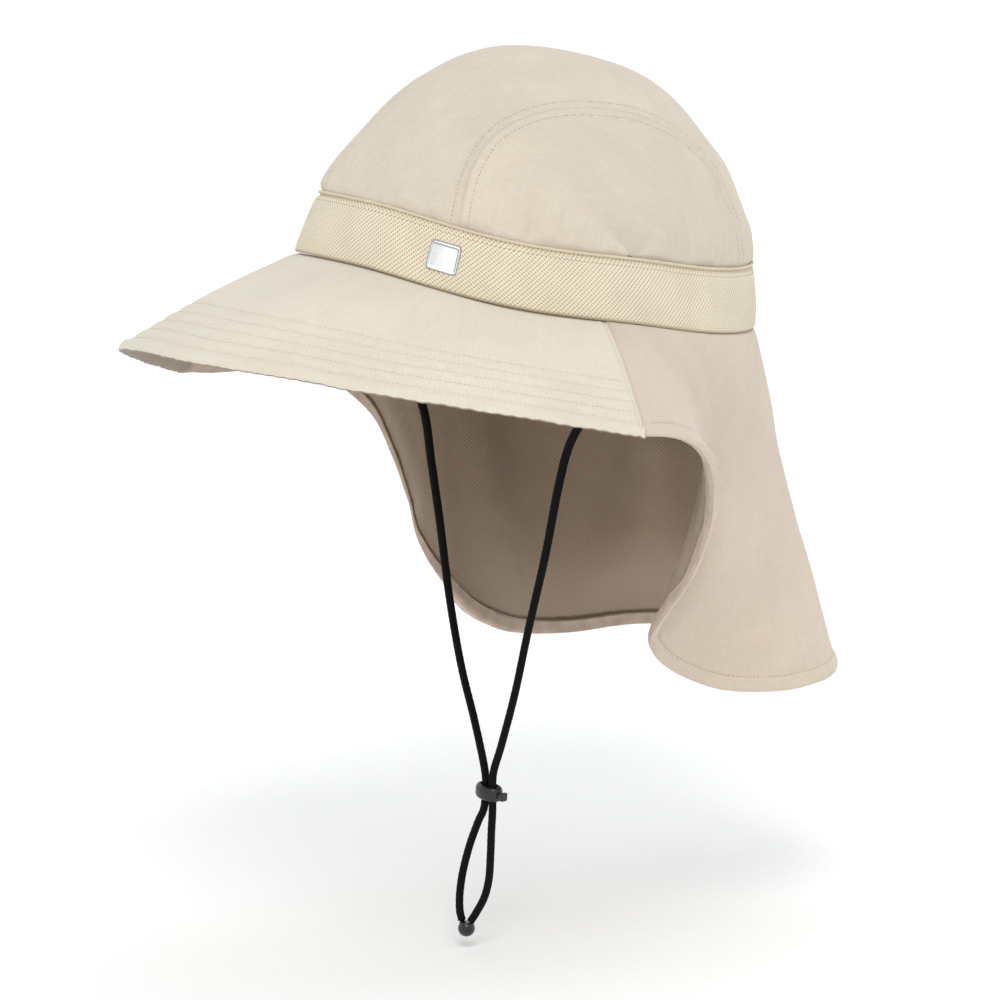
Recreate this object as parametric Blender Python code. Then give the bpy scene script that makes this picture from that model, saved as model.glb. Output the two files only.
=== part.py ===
# Cooling hat as worn: crown, knit band, stiff brim, neck cape and a chin cord with its lock.
# Metres, +Z up. The wearer looks along -Y and the wearer's left is +X.
# The origin is the centre of the head opening at the level of the ears.
import bmesh
import bpy
import numpy as np
from math import radians

# Head opening, crown and band
HEAD_WIDTH = 0.165
HEAD_LENGTH = 0.212
WORN_TILT = radians(15.0)
FRONT_LIFT = 0.003
BACK_LIFT = 0.007
LEFT_DIP = 0.0034
CROWN_HEIGHT = 0.0755
CROWN_LEAN = 0.004
CROWN_WALL = 0.0013
FRONT_RISE_SHARE = 0.06
PLAN_POWER = 2.5
HEIGHT_POWER = 1.3
BAND_HEIGHT = 0.0255
BAND_TAPER = 0.005
BAND_WALL = 0.002
BAND_TUCK = 0.0008
BAND_ROUND = 0.0028
PIPING_DIAMETER = 0.0019
PIPING_OUT_SHARE = 0.33
PIPING_UP_SHARE = 0.1
CROWN_TUCK_SHARE = 0.6
JOINT_GAP = 0.0003

# Brim
BRIM_WIDTH = 0.0815
BRIM_THICKNESS = 0.003
BRIM_END_ANGLE = 72.0
BRIM_ROUND = 0.004
BRIM_BULGE = 0.0022
BRIM_NEAR_EDGE_SHARE = 0.75
BRIM_EDGE_SHARE = 0.3

# Neck cape
CAPE_HALF_WIDTH = 0.082
CAPE_DROP = 0.164
CAPE_DEPTH = 0.142
CAPE_WALL = 0.0013
CAPE_HEM_WALL = 0.0024
CAPE_HEM_WIDTH = 0.0075
CAPE_JOIN_SPREAD = 14.0
BELLY_POWER = 0.65
FOLD_CENTRE_SHARE = 0.35
FOLD_START_RAMP = 0.3
FOLD_END_RAMP = 0.25
HEM_RAMP_SHARE = 0.4

# Plate on the band
PLATE_WIDTH = 0.016
PLATE_HEIGHT = 0.0125
PLATE_THICKNESS = 0.001
PLATE_ANGLE = 29.0
PLATE_CORNER_SHARE = 0.16

# Chin cord, lock and bead
CORD_DIAMETER = 0.0032
CORD_POINTS = 41
CORD_CLEARANCE = 0.0005
LOCK_WIDTH = 0.0124
LOCK_HEIGHT = 0.0062
LOCK_DEPTH = 0.0095
LOCK_END_SHARE = 0.9
LOCK_GAP_SHARE = 0.16
LOCK_SHOULDER_SHARE = 0.72
BUTTON_LENGTH = 0.0024
BUTTON_WIDTH = 0.0032
BUTTON_ROUND = 0.0004
BEAD_DIAMETER = 0.0068
BEAD_FLAT = 0.0020

# The crown's left seam from the front of the band over the top to the back, as shares of the
# crown's half width and half length. The right seam mirrors it.
SEAM_STATIONS = [
    # across, along
    (0.511, -0.860),
    (0.470, -0.835),
    (0.433, -0.785),
    (0.420, -0.710),
    (0.446, -0.612),
    (0.498, -0.481),
    (0.580, -0.268),
    (0.642, -0.014),
    (0.675, 0.210),
    (0.703, 0.378),
    (0.755, 0.488),
    (0.808, 0.552),
    (0.830, 0.558),
]

# Brim stations from the front centre to the temple: angle on the band, direction in which the
# brim leaves, and its droop on the wearer's left and right, all in degrees.
BRIM_STATIONS = [
    # angle, heading, droop left, droop right
    (0.0, 0.0, 20.0, 20.0),
    (20.0, 24.0, 18.5, 23.0),
    (39.0, 44.0, 18.2, 29.0),
    (56.0, 53.0, 18.9, 34.0),
    (72.0, 56.5, 20.7, 37.0),
]

# Cape stations from the temple round to the centre back: angle on the band, and the free edge's
# place as shares of CAPE_HALF_WIDTH, CAPE_DEPTH and CAPE_DROP, with the belly of the section.
CAPE_STATIONS = [
    # angle, side, back, drop left, drop right, belly
    (72.0, 1.721, -0.520, 0.156, 0.156, 0.00),
    (78.0, 1.560, -0.255, 0.212, 0.212, 0.01),
    (84.0, 1.380, -0.062, 0.290, 0.290, 0.02),
    (90.0, 1.215, 0.066, 0.400, 0.400, 0.03),
    (96.0, 1.110, 0.112, 0.520, 0.520, 0.04),
    (102.0, 0.990, 0.118, 0.640, 0.640, 0.05),
    (108.0, 0.860, 0.095, 0.745, 0.745, 0.06),
    (114.0, 0.715, 0.105, 0.835, 0.830, 0.07),
    (121.0, 0.690, 0.180, 0.915, 0.900, 0.06),
    (128.0, 0.770, 0.330, 0.985, 0.967, 0.045),
    (136.0, 0.890, 0.500, 1.010, 1.015, 0.03),
    (146.0, 0.890, 0.700, 1.015, 1.043, 0.01),
    (158.0, 0.700, 0.880, 1.015, 1.030, -0.01),
    (169.0, 0.360, 0.980, 1.015, 1.020, -0.01),
    (180.0, 0.000, 1.010, 1.015, 1.015, -0.01),
]

# Folds of the cape: angle on the band (negative is the wearer's right), lean of the fold along the
# cape, half width in degrees, depth as a share of CAPE_DEPTH (inwards), start and end down the cape.
CAPE_FOLDS = [
    # angle, lean, half width, depth, start, end
    (-172.0, 14.0, 15.0, 0.095, 0.15, 0.92),
    (116.0, 10.0, 9.0, -0.030, 0.25, 0.95),
    (-118.0, -8.0, 9.0, 0.030, 0.25, 0.90),
    (143.0, 0.0, 12.0, 0.022, 0.20, 0.90),
]

# Route of each cord from the temple through the lock to the bead, chosen by hand.
CORD_LEFT_ROUTE = [
    (0.0775, -0.0125, 0.0045),
    (0.0745, -0.0128, -0.0080),
    (0.0665, -0.0136, -0.0200),
    (0.0560, -0.0142, -0.0320),
    (0.0470, -0.0147, -0.0430),
    (0.0400, -0.0150, -0.0550),
    (0.0345, -0.0153, -0.0730),
    (0.0280, -0.0158, -0.1010),
    (0.0190, -0.0166, -0.1340),
    (0.0125, -0.0176, -0.1610),
    (0.0060, -0.0190, -0.1840),
    (0.0024, -0.0200, -0.1960),
    (0.0021, -0.0202, -0.2050),
    (0.0020, -0.0202, -0.2130),
    (0.0014, -0.0202, -0.2210),
    (0.0010, -0.0203, -0.2310),
    (0.0006, -0.0208, -0.2410),
    (-0.0010, -0.0218, -0.2490),
    (-0.0040, -0.0235, -0.2558),
    (-0.0062, -0.0246, -0.2598),
]
CORD_RIGHT_ROUTE = [
    (-0.0775, -0.0125, 0.0045),
    (-0.0745, -0.0128, -0.0080),
    (-0.0665, -0.0136, -0.0200),
    (-0.0560, -0.0142, -0.0320),
    (-0.0480, -0.0147, -0.0430),
    (-0.0420, -0.0150, -0.0550),
    (-0.0385, -0.0151, -0.0730),
    (-0.0335, -0.0154, -0.0960),
    (-0.0270, -0.0161, -0.1280),
    (-0.0195, -0.0169, -0.1550),
    (-0.0105, -0.0180, -0.1770),
    (-0.0028, -0.0198, -0.1960),
    (-0.0021, -0.0202, -0.2050),
    (-0.0028, -0.0203, -0.2120),
    (-0.0060, -0.0206, -0.2185),
    (-0.0100, -0.0215, -0.2290),
    (-0.0125, -0.0228, -0.2400),
    (-0.0133, -0.0238, -0.2490),
    (-0.0122, -0.0250, -0.2558),
    (-0.0101, -0.0258, -0.2598),
]
LOCK_CENTRE = (0.0, -0.0202, -0.2045)
BEAD_CENTRE = (-0.0081, -0.0252, -0.2630)

# Mesh density
RING_STEPS = 72
PIPING_SIDES = 6
PANEL_ROWS = 8
PANEL_STEPS = 20
SIDE_ROWS = 9
LAST_SIDE_ROW = 0.97
SKIRT_STEPS = 5
BRIM_STEPS = 24
CAPE_STEPS = 58
CAPE_ROWS = 14
PLATE_STEPS = 8
LOCK_SIDES = 16
ROUTE_SAMPLES = 1200


def clear_scene():
    for old in list(bpy.data.objects):
        bpy.data.objects.remove(old, do_unlink=True)


def material(name, colour, roughness, metallic=0.0):
    made = bpy.data.materials.new(name)
    made.use_nodes = True
    shader = made.node_tree.nodes["Principled BSDF"]
    shader.inputs["Base Color"].default_value = (*colour, 1.0)
    shader.inputs["Roughness"].default_value = roughness
    shader.inputs["Metallic"].default_value = metallic
    made.diffuse_color = (*colour, 1.0)
    return made


def add_mesh(name, points, faces, finish, smooth=True):
    mesh = bpy.data.meshes.new(name)
    mesh.from_pydata([tuple(map(float, p)) for p in points], [], faces)
    mesh.materials.append(finish)
    mesh.validate()
    made = bpy.data.objects.new(name, mesh)
    bpy.context.scene.collection.objects.link(made)
    if smooth:
        mesh.shade_smooth()
        mesh.set_sharp_from_angle(angle=radians(35))
    return made


def smooth_columns(rows, at):
    """Read a table at any value of its first column along a smooth curve through its rows."""
    table = np.array(rows, float)
    keys = table[:, 0]
    values = table[:, 1:]
    slopes = np.gradient(values, keys, axis=0)
    at = np.clip(np.atleast_1d(at), keys[0], keys[-1])
    index = np.clip(np.searchsorted(keys, at, side="right") - 1, 0, len(keys) - 2)
    span = (keys[index + 1] - keys[index])[:, None]
    share = (at - keys[index])[:, None] / span
    start = values[index] * (1 + 2 * share) * (1 - share) ** 2
    start_slope = slopes[index] * span * share * (1 - share) ** 2
    end = values[index + 1] * share**2 * (3 - 2 * share)
    end_slope = slopes[index + 1] * span * share**2 * (share - 1)
    return start + start_slope + end + end_slope


def ease(value):
    value = np.clip(value, 0.0, 1.0)
    return value * value * (3 - 2 * value)


def worn(points):
    """Tip the hat back by WORN_TILT: front up, back down."""
    points = np.asarray(points, float)
    out = points.copy()
    out[..., 1] = points[..., 1] * np.cos(WORN_TILT) + points[..., 2] * np.sin(WORN_TILT)
    out[..., 2] = points[..., 2] * np.cos(WORN_TILT) - points[..., 1] * np.sin(WORN_TILT)
    return out


def edge_lift(angle):
    """Height of the band's wavy lower edge above its plane, from the angle in degrees."""
    turn = np.radians(angle)
    front = np.maximum(np.cos(turn), 0.0) ** 2
    back = np.maximum(-np.cos(turn), 0.0) ** 2
    left_front = (np.cos(turn) > 0) & (np.sin(turn) > 0)
    dip = np.where(left_front, LEFT_DIP * np.sin(2 * turn) ** 2, 0.0)
    return FRONT_LIFT * front + BACK_LIFT * back - dip


def ring_point(angle, out, height):
    """Worn point at an angle in degrees on the head oval, moved out and up."""
    turn = np.radians(angle)
    x = (HEAD_WIDTH / 2 + out) * np.sin(turn)
    y = -(HEAD_LENGTH / 2 + out) * np.cos(turn)
    z = height + edge_lift(angle)
    return worn(np.stack(np.broadcast_arrays(x, y, z), axis=-1))


def grid_solid(name, outer, inner, finish, closed=False):
    """Closed wall between an outer and an inner grid of points; a closed grid joins its rows' ends."""
    rows, steps = outer.shape[:2]
    points = np.concatenate([outer.reshape(-1, 3), inner.reshape(-1, 3)])
    base = rows * steps
    faces = []
    last = rows if closed else rows - 1
    for r in range(last):
        n = (r + 1) % rows
        for s in range(steps - 1):
            a, b = r * steps + s, r * steps + s + 1
            c, d = n * steps + s + 1, n * steps + s
            faces.append((a, b, c, d))
            faces.append((base + d, base + c, base + b, base + a))
        for s, turn in ((0, False), (steps - 1, True)):
            a, d = r * steps + s, n * steps + s
            side = (a, d, base + d, base + a)
            faces.append(side[::-1] if turn else side)
    if not closed:
        for r, turn in ((0, True), (rows - 1, False)):
            for s in range(steps - 1):
                a, b = r * steps + s, r * steps + s + 1
                side = (a, b, base + b, base + a)
                faces.append(side if not turn else side[::-1])
    made = add_mesh(name, points, faces, finish)
    turn_outwards(made)
    return made


def turn_outwards(made):
    """Flip a closed mesh whose signed volume is negative."""
    mesh = made.data
    mesh.calc_loop_triangles()
    where = np.array([v.co[:] for v in mesh.vertices])
    tris = np.array([t.vertices[:] for t in mesh.loop_triangles])
    a, b, c = where[tris[:, 0]], where[tris[:, 1]], where[tris[:, 2]]
    if np.einsum("ij,ij->i", a, np.cross(b, c)).sum() < 0:
        mesh.flip_normals()


def crown_rim():
    """Half width and half length of the crown's lower rim, inside the piping."""
    tuck = BAND_TAPER + CROWN_TUCK_SHARE * PIPING_DIAMETER
    return HEAD_WIDTH / 2 - tuck, HEAD_LENGTH / 2 - tuck


def crown_point(share_x, share_y, inward):
    """Worn point of the crown dome over the head oval, from plan shares -1 to 1."""
    rim_x, rim_y = crown_rim()
    plan, tall = PLAN_POWER, HEIGHT_POWER
    radius = np.clip(np.hypot(share_x, share_y), 1e-6, 1.0)
    up = (1 - radius**plan) ** (1 / tall)
    front = 1 - FRONT_RISE_SHARE * share_y
    grad_x = plan * radius ** (plan - 2) * share_x / rim_x
    grad_y = plan * radius ** (plan - 2) * share_y / rim_y
    grad_y = grad_y + tall * up**tall * FRONT_RISE_SHARE / (front * rim_y)
    grad_z = tall * np.maximum(up, 1e-9) ** (tall - 1) / (CROWN_HEIGHT * front)
    size = np.sqrt(grad_x**2 + grad_y**2 + grad_z**2)
    x = share_x * rim_x - inward * grad_x / size
    y = share_y * rim_y - inward * grad_y / size
    rise = up * CROWN_HEIGHT * front - inward * grad_z / size
    lift = edge_lift(np.degrees(np.arctan2(share_x, -share_y))) * (1 - up)
    z = BAND_HEIGHT + JOINT_GAP + np.maximum(rise, 0.0) + lift
    y = y + CROWN_LEAN * up
    return worn(np.stack([x, y, z], axis=-1))


def walked_length(points):
    steps = np.linalg.norm(np.diff(points, axis=0), axis=1)
    return np.concatenate([[0.0], np.cumsum(steps)])


def seam_line(shift):
    """Plan shares of the left seam at even steps along the crown, moved sideways by a plan share."""
    keys = np.arange(len(SEAM_STATIONS), dtype=float)
    table = np.column_stack([keys, SEAM_STATIONS])
    fine = smooth_columns(table, np.linspace(0, keys[-1], ROUTE_SAMPLES))
    walked = walked_length(crown_point(fine[:, 0], fine[:, 1], 0.0))
    even = np.linspace(0.0, walked[-1], PANEL_STEPS + 1)
    line = np.column_stack([np.interp(even, walked, fine[:, k]) for k in range(2)])
    line[:, 0] += shift
    for end in (0, -1):
        line[end] /= np.hypot(*line[end])
    return line


def panel_solid(name, x, y, finish):
    return grid_solid(name, crown_point(x, y, 0.0), crown_point(x, y, CROWN_WALL), finish)


def make_crown(cloth):
    half_gap = JOINT_GAP / 2 / crown_rim()[0]
    steps = np.linspace(0.0, 1.0, PANEL_STEPS + 1)
    seam = seam_line(-half_gap)
    across = np.linspace(-1.0, 1.0, PANEL_ROWS + 1)[:, None]
    x = across * seam[:, 0]
    front = -np.sqrt(1 - x[:, :1] ** 2) - seam[0, 1]
    back = np.sqrt(1 - x[:, -1:] ** 2) - seam[-1, 1]
    y = seam[:, 1] + (1 - steps) * front + steps * back
    panel_solid("crown_center_panel", x, y, cloth)
    seam = seam_line(half_gap)
    first, last = np.arctan2(seam[0, 0], -seam[0, 1]), np.arctan2(seam[-1, 0], -seam[-1, 1])
    down = np.linspace(0.0, LAST_SIDE_ROW, SIDE_ROWS + 1)[:, None]
    middle = (first + last) / 2
    start = first + down * (middle - first)
    end = last + down * (middle - last)
    x = np.sin(start) * (1 - steps) + np.sin(end) * steps
    y = -np.cos(start) * (1 - steps) - np.cos(end) * steps
    x = x + (seam[:, 0] - x[0]) * (1 - down)
    y = y + (seam[:, 1] - y[0]) * (1 - down)
    panel_solid("crown_side_panel_left", x, y, cloth)
    panel_solid("crown_side_panel_right", -x, y, cloth)


def ring_angles():
    return np.arange(RING_STEPS) * 360.0 / RING_STEPS


def make_band(knit):
    angles = ring_angles()[:, None]
    share = np.array([0.0, 0.34, 0.67, 1 - BAND_ROUND / BAND_HEIGHT, 1.0])
    out = -BAND_TAPER * share
    out[-1] -= BAND_TUCK
    height = share * BAND_HEIGHT
    outer = ring_point(angles, out[None, :], height[None, :])
    inner = ring_point(angles, out[None, :] - BAND_WALL, height[None, :])
    return grid_solid("hat_band", outer, inner, knit, closed=True)


def make_piping(cord_cloth):
    turn = np.arange(PIPING_SIDES) * 2 * np.pi / PIPING_SIDES
    radius = PIPING_DIAMETER / 2
    out = -BAND_TAPER + PIPING_OUT_SHARE * PIPING_DIAMETER + radius * np.cos(turn)
    height = BAND_HEIGHT + PIPING_UP_SHARE * PIPING_DIAMETER + radius * np.sin(turn)
    around = ring_point(ring_angles()[:, None], out[None, :], height[None, :])
    rows, steps = around.shape[:2]
    faces = []
    for r in range(rows):
        n = (r + 1) % rows
        for s in range(steps):
            e = (s + 1) % steps
            faces.append((r * steps + s, r * steps + e, n * steps + e, n * steps + s))
    made = add_mesh("band_piping", around.reshape(-1, 3), faces, cord_cloth)
    turn_outwards(made)
    return made


def seam_start(angle):
    """Outer corner of the seam under the band, from which brim and cape leave."""
    return ring_point(angle, 0.0, -JOINT_GAP)


def brim_edge(angle):
    """Outer edge of the brim's top face at an angle on the band, negative to the right."""
    heading, left, right = smooth_columns(BRIM_STATIONS, np.abs(angle)).T
    droop = np.radians(np.where(angle >= 0, left, right))
    heading = np.radians(heading) * np.sign(angle)
    start = seam_start(angle)
    reach = BRIM_WIDTH * np.cos(droop)
    step = [np.sin(heading) * reach, -np.cos(heading) * reach, -BRIM_WIDTH * np.sin(droop)]
    return start + np.stack(step, axis=-1)


def make_brim(cloth):
    end = BRIM_END_ANGLE - np.degrees(JOINT_GAP / HEAD_WIDTH)
    angles = np.linspace(-end, end, BRIM_STEPS * 2 + 1)
    start = seam_start(angles)
    ledge = ring_point(angles, -BAND_WALL, -JOINT_GAP)
    edge = brim_edge(angles)
    rounding = BRIM_ROUND / BRIM_WIDTH
    share = np.concatenate([np.linspace(0, 1 - rounding, SKIRT_STEPS), [1 - rounding / 4, 1.0]])
    thick = np.full(len(share) + 1, BRIM_THICKNESS)
    thick[-2] = BRIM_THICKNESS * BRIM_NEAR_EDGE_SHARE
    thick[-1] = BRIM_THICKNESS * BRIM_EDGE_SHARE
    along = start[:, None, :] + (edge - start)[:, None, :] * share[None, :, None]
    bulge = BRIM_BULGE * np.sin(np.pi * share)
    along[..., 2] += bulge[None, :]
    drop = (BRIM_THICKNESS - thick) / 2
    outer = np.concatenate([ledge[:, None, :], along], axis=1)
    outer[..., 2] -= drop[None, :]
    inner = outer.copy()
    inner[..., 2] -= thick[None, :]
    return grid_solid("brim", outer, inner, cloth)


def fold_depth(angle, down):
    """Inward depth of the cape's folds at a signed angle on the band and a share down the cape."""
    depth = np.zeros(np.broadcast(angle, down).shape)
    for at, lean, half, deep, begin, end in CAPE_FOLDS:
        off = (angle - (at + lean * down) + 180.0) % 360.0 - 180.0
        across = ease(1 - np.abs(off) / half)
        ramp = ease((down - begin) / FOLD_START_RAMP) * ease((end - down) / FOLD_END_RAMP)
        depth = depth + deep * CAPE_DEPTH * across * ramp
    return depth


def cape_surface(around, down):
    """Outer face of the cape: around in degrees from the left temple (72) to the right (288)."""
    signed = np.where(around <= 180.0, around, around - 360.0)
    side = np.sign(signed)
    side = np.where(side == 0, 1.0, side)
    half, depth, left, right, belly = smooth_columns(CAPE_STATIONS, np.abs(signed)).T
    drop = np.where(signed >= 0, left, right)
    start = seam_start(signed)
    ground = np.stack([side * half * CAPE_HALF_WIDTH, depth * CAPE_DEPTH, -drop * CAPE_DROP], axis=-1)
    joined = ease((np.abs(signed) - BRIM_END_ANGLE) / CAPE_JOIN_SPREAD)[:, None]
    corner = brim_edge(np.sign(signed) * BRIM_END_ANGLE)
    shift = (corner - cape_corner(np.sign(signed))) * (1 - joined)
    ground = ground + shift
    reach = ground - start
    length = np.linalg.norm(reach, axis=-1)
    outward = np.stack([start[:, 0] / HEAD_WIDTH, start[:, 1] / HEAD_LENGTH, 0 * length], axis=-1)
    outward /= np.linalg.norm(outward, axis=-1)[:, None]
    share = down[None, :, None]
    line = start[:, None, :] + reach[:, None, :] * share
    puff = (belly * length)[:, None, None] * np.sin(np.pi * share**BELLY_POWER)
    fold = fold_depth(signed[:, None], down[None, :])[..., None]
    line[..., 2] += BRIM_BULGE * np.sin(np.pi * down)[None, :] * (1 - joined)
    centre = np.array([0.0, FOLD_CENTRE_SHARE * CAPE_DEPTH, 0.0])
    inward = centre - line
    inward[..., 2] = 0.0
    inward /= np.maximum(np.linalg.norm(inward, axis=-1, keepdims=True), 1e-6)
    return line + puff * outward[:, None, :] + fold * inward


def cape_corner(side):
    """Free-edge place of the first cape station."""
    first = CAPE_STATIONS[0]
    half, depth, drop = first[1] * CAPE_HALF_WIDTH, first[2] * CAPE_DEPTH, first[3] * CAPE_DROP
    return np.stack([side * half, depth + 0 * side, -drop + 0 * side], axis=-1)


def grid_normals(grid):
    """Unit normals of a grid, pointing away from the head's axis."""
    across = np.gradient(grid, axis=0)
    along = np.gradient(grid, axis=1)
    normal = np.cross(along, across)
    normal /= np.maximum(np.linalg.norm(normal, axis=-1, keepdims=True), 1e-12)
    return normal


def make_cape(cloth):
    lead = np.degrees(2 * JOINT_GAP / (HEAD_WIDTH / 2))
    spread = np.linspace(BRIM_END_ANGLE + lead, 360 - BRIM_END_ANGLE - lead, CAPE_STEPS + 1)
    down = np.linspace(0.0, 1.0, CAPE_ROWS + 1)
    surface = cape_surface(spread, down)
    normal = grid_normals(surface)
    middle = normal[CAPE_STEPS // 2, CAPE_ROWS // 2]
    if middle[1] < 0:
        normal = -normal
    normal[[0, -1]] = (0.0, 0.0, 1.0)
    edge = surface[:, -1:, :]
    away = np.linalg.norm(surface - edge, axis=-1)
    extra = ease((CAPE_HEM_WIDTH - away) / (HEM_RAMP_SHARE * CAPE_HEM_WIDTH))
    wall = CAPE_WALL + (CAPE_HEM_WALL - CAPE_WALL) * extra
    inner = surface - normal * wall[..., None]
    ledge_outer = ring_point(np.where(spread <= 180, spread, spread - 360), -BAND_WALL, -JOINT_GAP)
    ledge_inner = ledge_outer.copy()
    ledge_inner[:, 2] -= CAPE_WALL
    inner[:, 0, :] = surface[:, 0, :]
    inner[:, 0, 2] -= CAPE_WALL
    reach = np.linalg.norm(surface[:, 0, :2], axis=-1, keepdims=True)
    inner[:, 0, :2] = surface[:, 0, :2] * (1 - CAPE_WALL / reach)
    outer = np.concatenate([ledge_outer[:, None, :], surface], axis=1)
    inner = np.concatenate([ledge_inner[:, None, :], inner], axis=1)
    return grid_solid("neck_cape", outer, inner, cloth)


def make_plate(metal):
    """Plain rounded plate that lies on the band's outer face."""
    half_turn = np.degrees(PLATE_WIDTH / 2 / (HEAD_LENGTH / 2))
    turns = np.linspace(-1.0, 1.0, PLATE_STEPS + 1)
    rows = np.linspace(-1.0, 1.0, PLATE_STEPS // 2 + 1)
    middle = BAND_HEIGHT / 2
    grid_outer = []
    grid_inner = []
    for turn in turns:
        side = 1 - PLATE_CORNER_SHARE * abs(turn) ** 6
        height = middle + rows * side * PLATE_HEIGHT / 2
        lean = -BAND_TAPER * height / BAND_HEIGHT
        angle = PLATE_ANGLE + turn * half_turn
        grid_outer.append(ring_point(angle, lean + JOINT_GAP + PLATE_THICKNESS, height))
        grid_inner.append(ring_point(angle, lean + JOINT_GAP, height))
    return grid_solid("band_plate", np.array(grid_outer), np.array(grid_inner), metal)


def smooth_route(route, count):
    """Points at even steps along a smooth curve through the route's points."""
    route = np.array(route)
    keys = np.arange(len(route), dtype=float)
    fine = smooth_columns(np.column_stack([keys, route]), np.linspace(0, keys[-1], ROUTE_SAMPLES))
    walked = walked_length(fine)
    even = np.linspace(0.0, walked[-1], count)
    return np.column_stack([np.interp(even, walked, fine[:, k]) for k in range(3)])


def make_cord(name, route, rubber):
    curve = bpy.data.curves.new(name, "CURVE")
    curve.dimensions = "3D"
    curve.bevel_depth = CORD_DIAMETER / 2
    curve.bevel_resolution = 2
    curve.use_fill_caps = True
    spline = curve.splines.new("POLY")
    points = smooth_route(route, CORD_POINTS)
    spline.points.add(len(points) - 1)
    for slot, point in zip(spline.points, points):
        slot.co = (*map(float, point), 1.0)
    curve.materials.append(rubber)
    made = bpy.data.objects.new(name, curve)
    bpy.context.scene.collection.objects.link(made)
    return made


def make_lock(plastic):
    """Oval sleeve round both cords, with one upright slot that they share."""
    turn = np.arange(LOCK_SIDES)[:, None] * 2 * np.pi / LOCK_SIDES
    slot_x = CORD_DIAMETER + LOCK_GAP_SHARE * CORD_DIAMETER + CORD_CLEARANCE
    slot_y = CORD_DIAMETER / 2 + CORD_CLEARANCE
    heights = np.array([-1.0, -LOCK_SHOULDER_SHARE, 0.0, LOCK_SHOULDER_SHARE, 1.0]) * LOCK_HEIGHT / 2
    swell = np.array([LOCK_END_SHARE, 1.0, 1.0, 1.0, LOCK_END_SHARE])
    level = heights + 0 * turn
    x = LOCK_WIDTH / 2 * swell * np.cos(turn)
    y = LOCK_DEPTH / 2 * swell * np.sin(turn)
    outer = np.stack([x, y, level], axis=-1)
    side = np.maximum(np.abs(np.cos(turn)) / slot_x, np.abs(np.sin(turn)) / slot_y)
    inner = np.stack([np.cos(turn) / side + 0 * level, np.sin(turn) / side + 0 * level, level], axis=-1)
    place = np.array(LOCK_CENTRE)
    return grid_solid("cord_lock", outer + place, inner + place, plastic, closed=True)


def make_button(plastic):
    """Square-ended push button at the left end of the lock."""
    mesh = bpy.data.meshes.new("cord_lock_button")
    shape = bmesh.new()
    bmesh.ops.create_cube(shape, size=1.0)
    bmesh.ops.scale(shape, vec=(BUTTON_LENGTH, BUTTON_WIDTH, BUTTON_WIDTH), verts=shape.verts)
    bmesh.ops.bevel(shape, geom=shape.edges[:], offset=BUTTON_ROUND, segments=2, affect="EDGES")
    across = LOCK_WIDTH / 2 + JOINT_GAP + BUTTON_LENGTH / 2
    x, y, z = LOCK_CENTRE
    bmesh.ops.translate(shape, vec=(x + across, y, z), verts=shape.verts)
    shape.to_mesh(mesh)
    shape.free()
    mesh.materials.append(plastic)
    made = bpy.data.objects.new("cord_lock_button", mesh)
    bpy.context.scene.collection.objects.link(made)
    return made


def make_bead(plastic):
    """Round end bead whose flat top the two cords meet."""
    mesh = bpy.data.meshes.new("cord_end_bead")
    shape = bmesh.new()
    bmesh.ops.create_uvsphere(shape, u_segments=16, v_segments=9, radius=BEAD_DIAMETER / 2)
    bmesh.ops.bisect_plane(
        shape,
        geom=shape.verts[:] + shape.edges[:] + shape.faces[:],
        plane_co=(0, 0, BEAD_FLAT),
        plane_no=(0, 0, 1),
        clear_outer=True,
    )
    rim = [e for e in shape.edges if e.is_boundary]
    bmesh.ops.holes_fill(shape, edges=rim, sides=0)
    bmesh.ops.recalc_face_normals(shape, faces=shape.faces[:])
    bmesh.ops.translate(shape, vec=BEAD_CENTRE, verts=shape.verts)
    shape.to_mesh(mesh)
    shape.free()
    mesh.materials.append(plastic)
    made = bpy.data.objects.new("cord_end_bead", mesh)
    bpy.context.scene.collection.objects.link(made)
    return made


def main():
    clear_scene()
    crown_cloth = material("crown_cloth", (0.66, 0.58, 0.45), 0.85)
    knit = material("band_knit", (0.68, 0.57, 0.38), 0.85)
    piping_cloth = material("piping_cloth", (0.64, 0.54, 0.38), 0.85)
    brim_cloth = material("brim_cloth", (0.66, 0.58, 0.45), 0.85)
    cape_cloth = material("cape_cloth", (0.60, 0.52, 0.40), 0.88)
    metal = material("plate_metal", (0.70, 0.70, 0.70), 0.35, 1.0)
    elastic = material("cord_elastic", (0.012, 0.012, 0.013), 0.75)
    plastic = material("lock_plastic", (0.02, 0.02, 0.022), 0.35)
    make_crown(crown_cloth)
    make_band(knit)
    make_piping(piping_cloth)
    make_brim(brim_cloth)
    make_cape(cape_cloth)
    make_plate(metal)
    make_cord("chin_cord_left", CORD_LEFT_ROUTE, elastic)
    make_cord("chin_cord_right", CORD_RIGHT_ROUTE, elastic)
    make_lock(plastic)
    make_button(plastic)
    make_bead(plastic)


main()
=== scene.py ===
from itertools import product

import bmesh
import bpy
import numpy as np
from mathutils import Matrix, Vector


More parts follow.
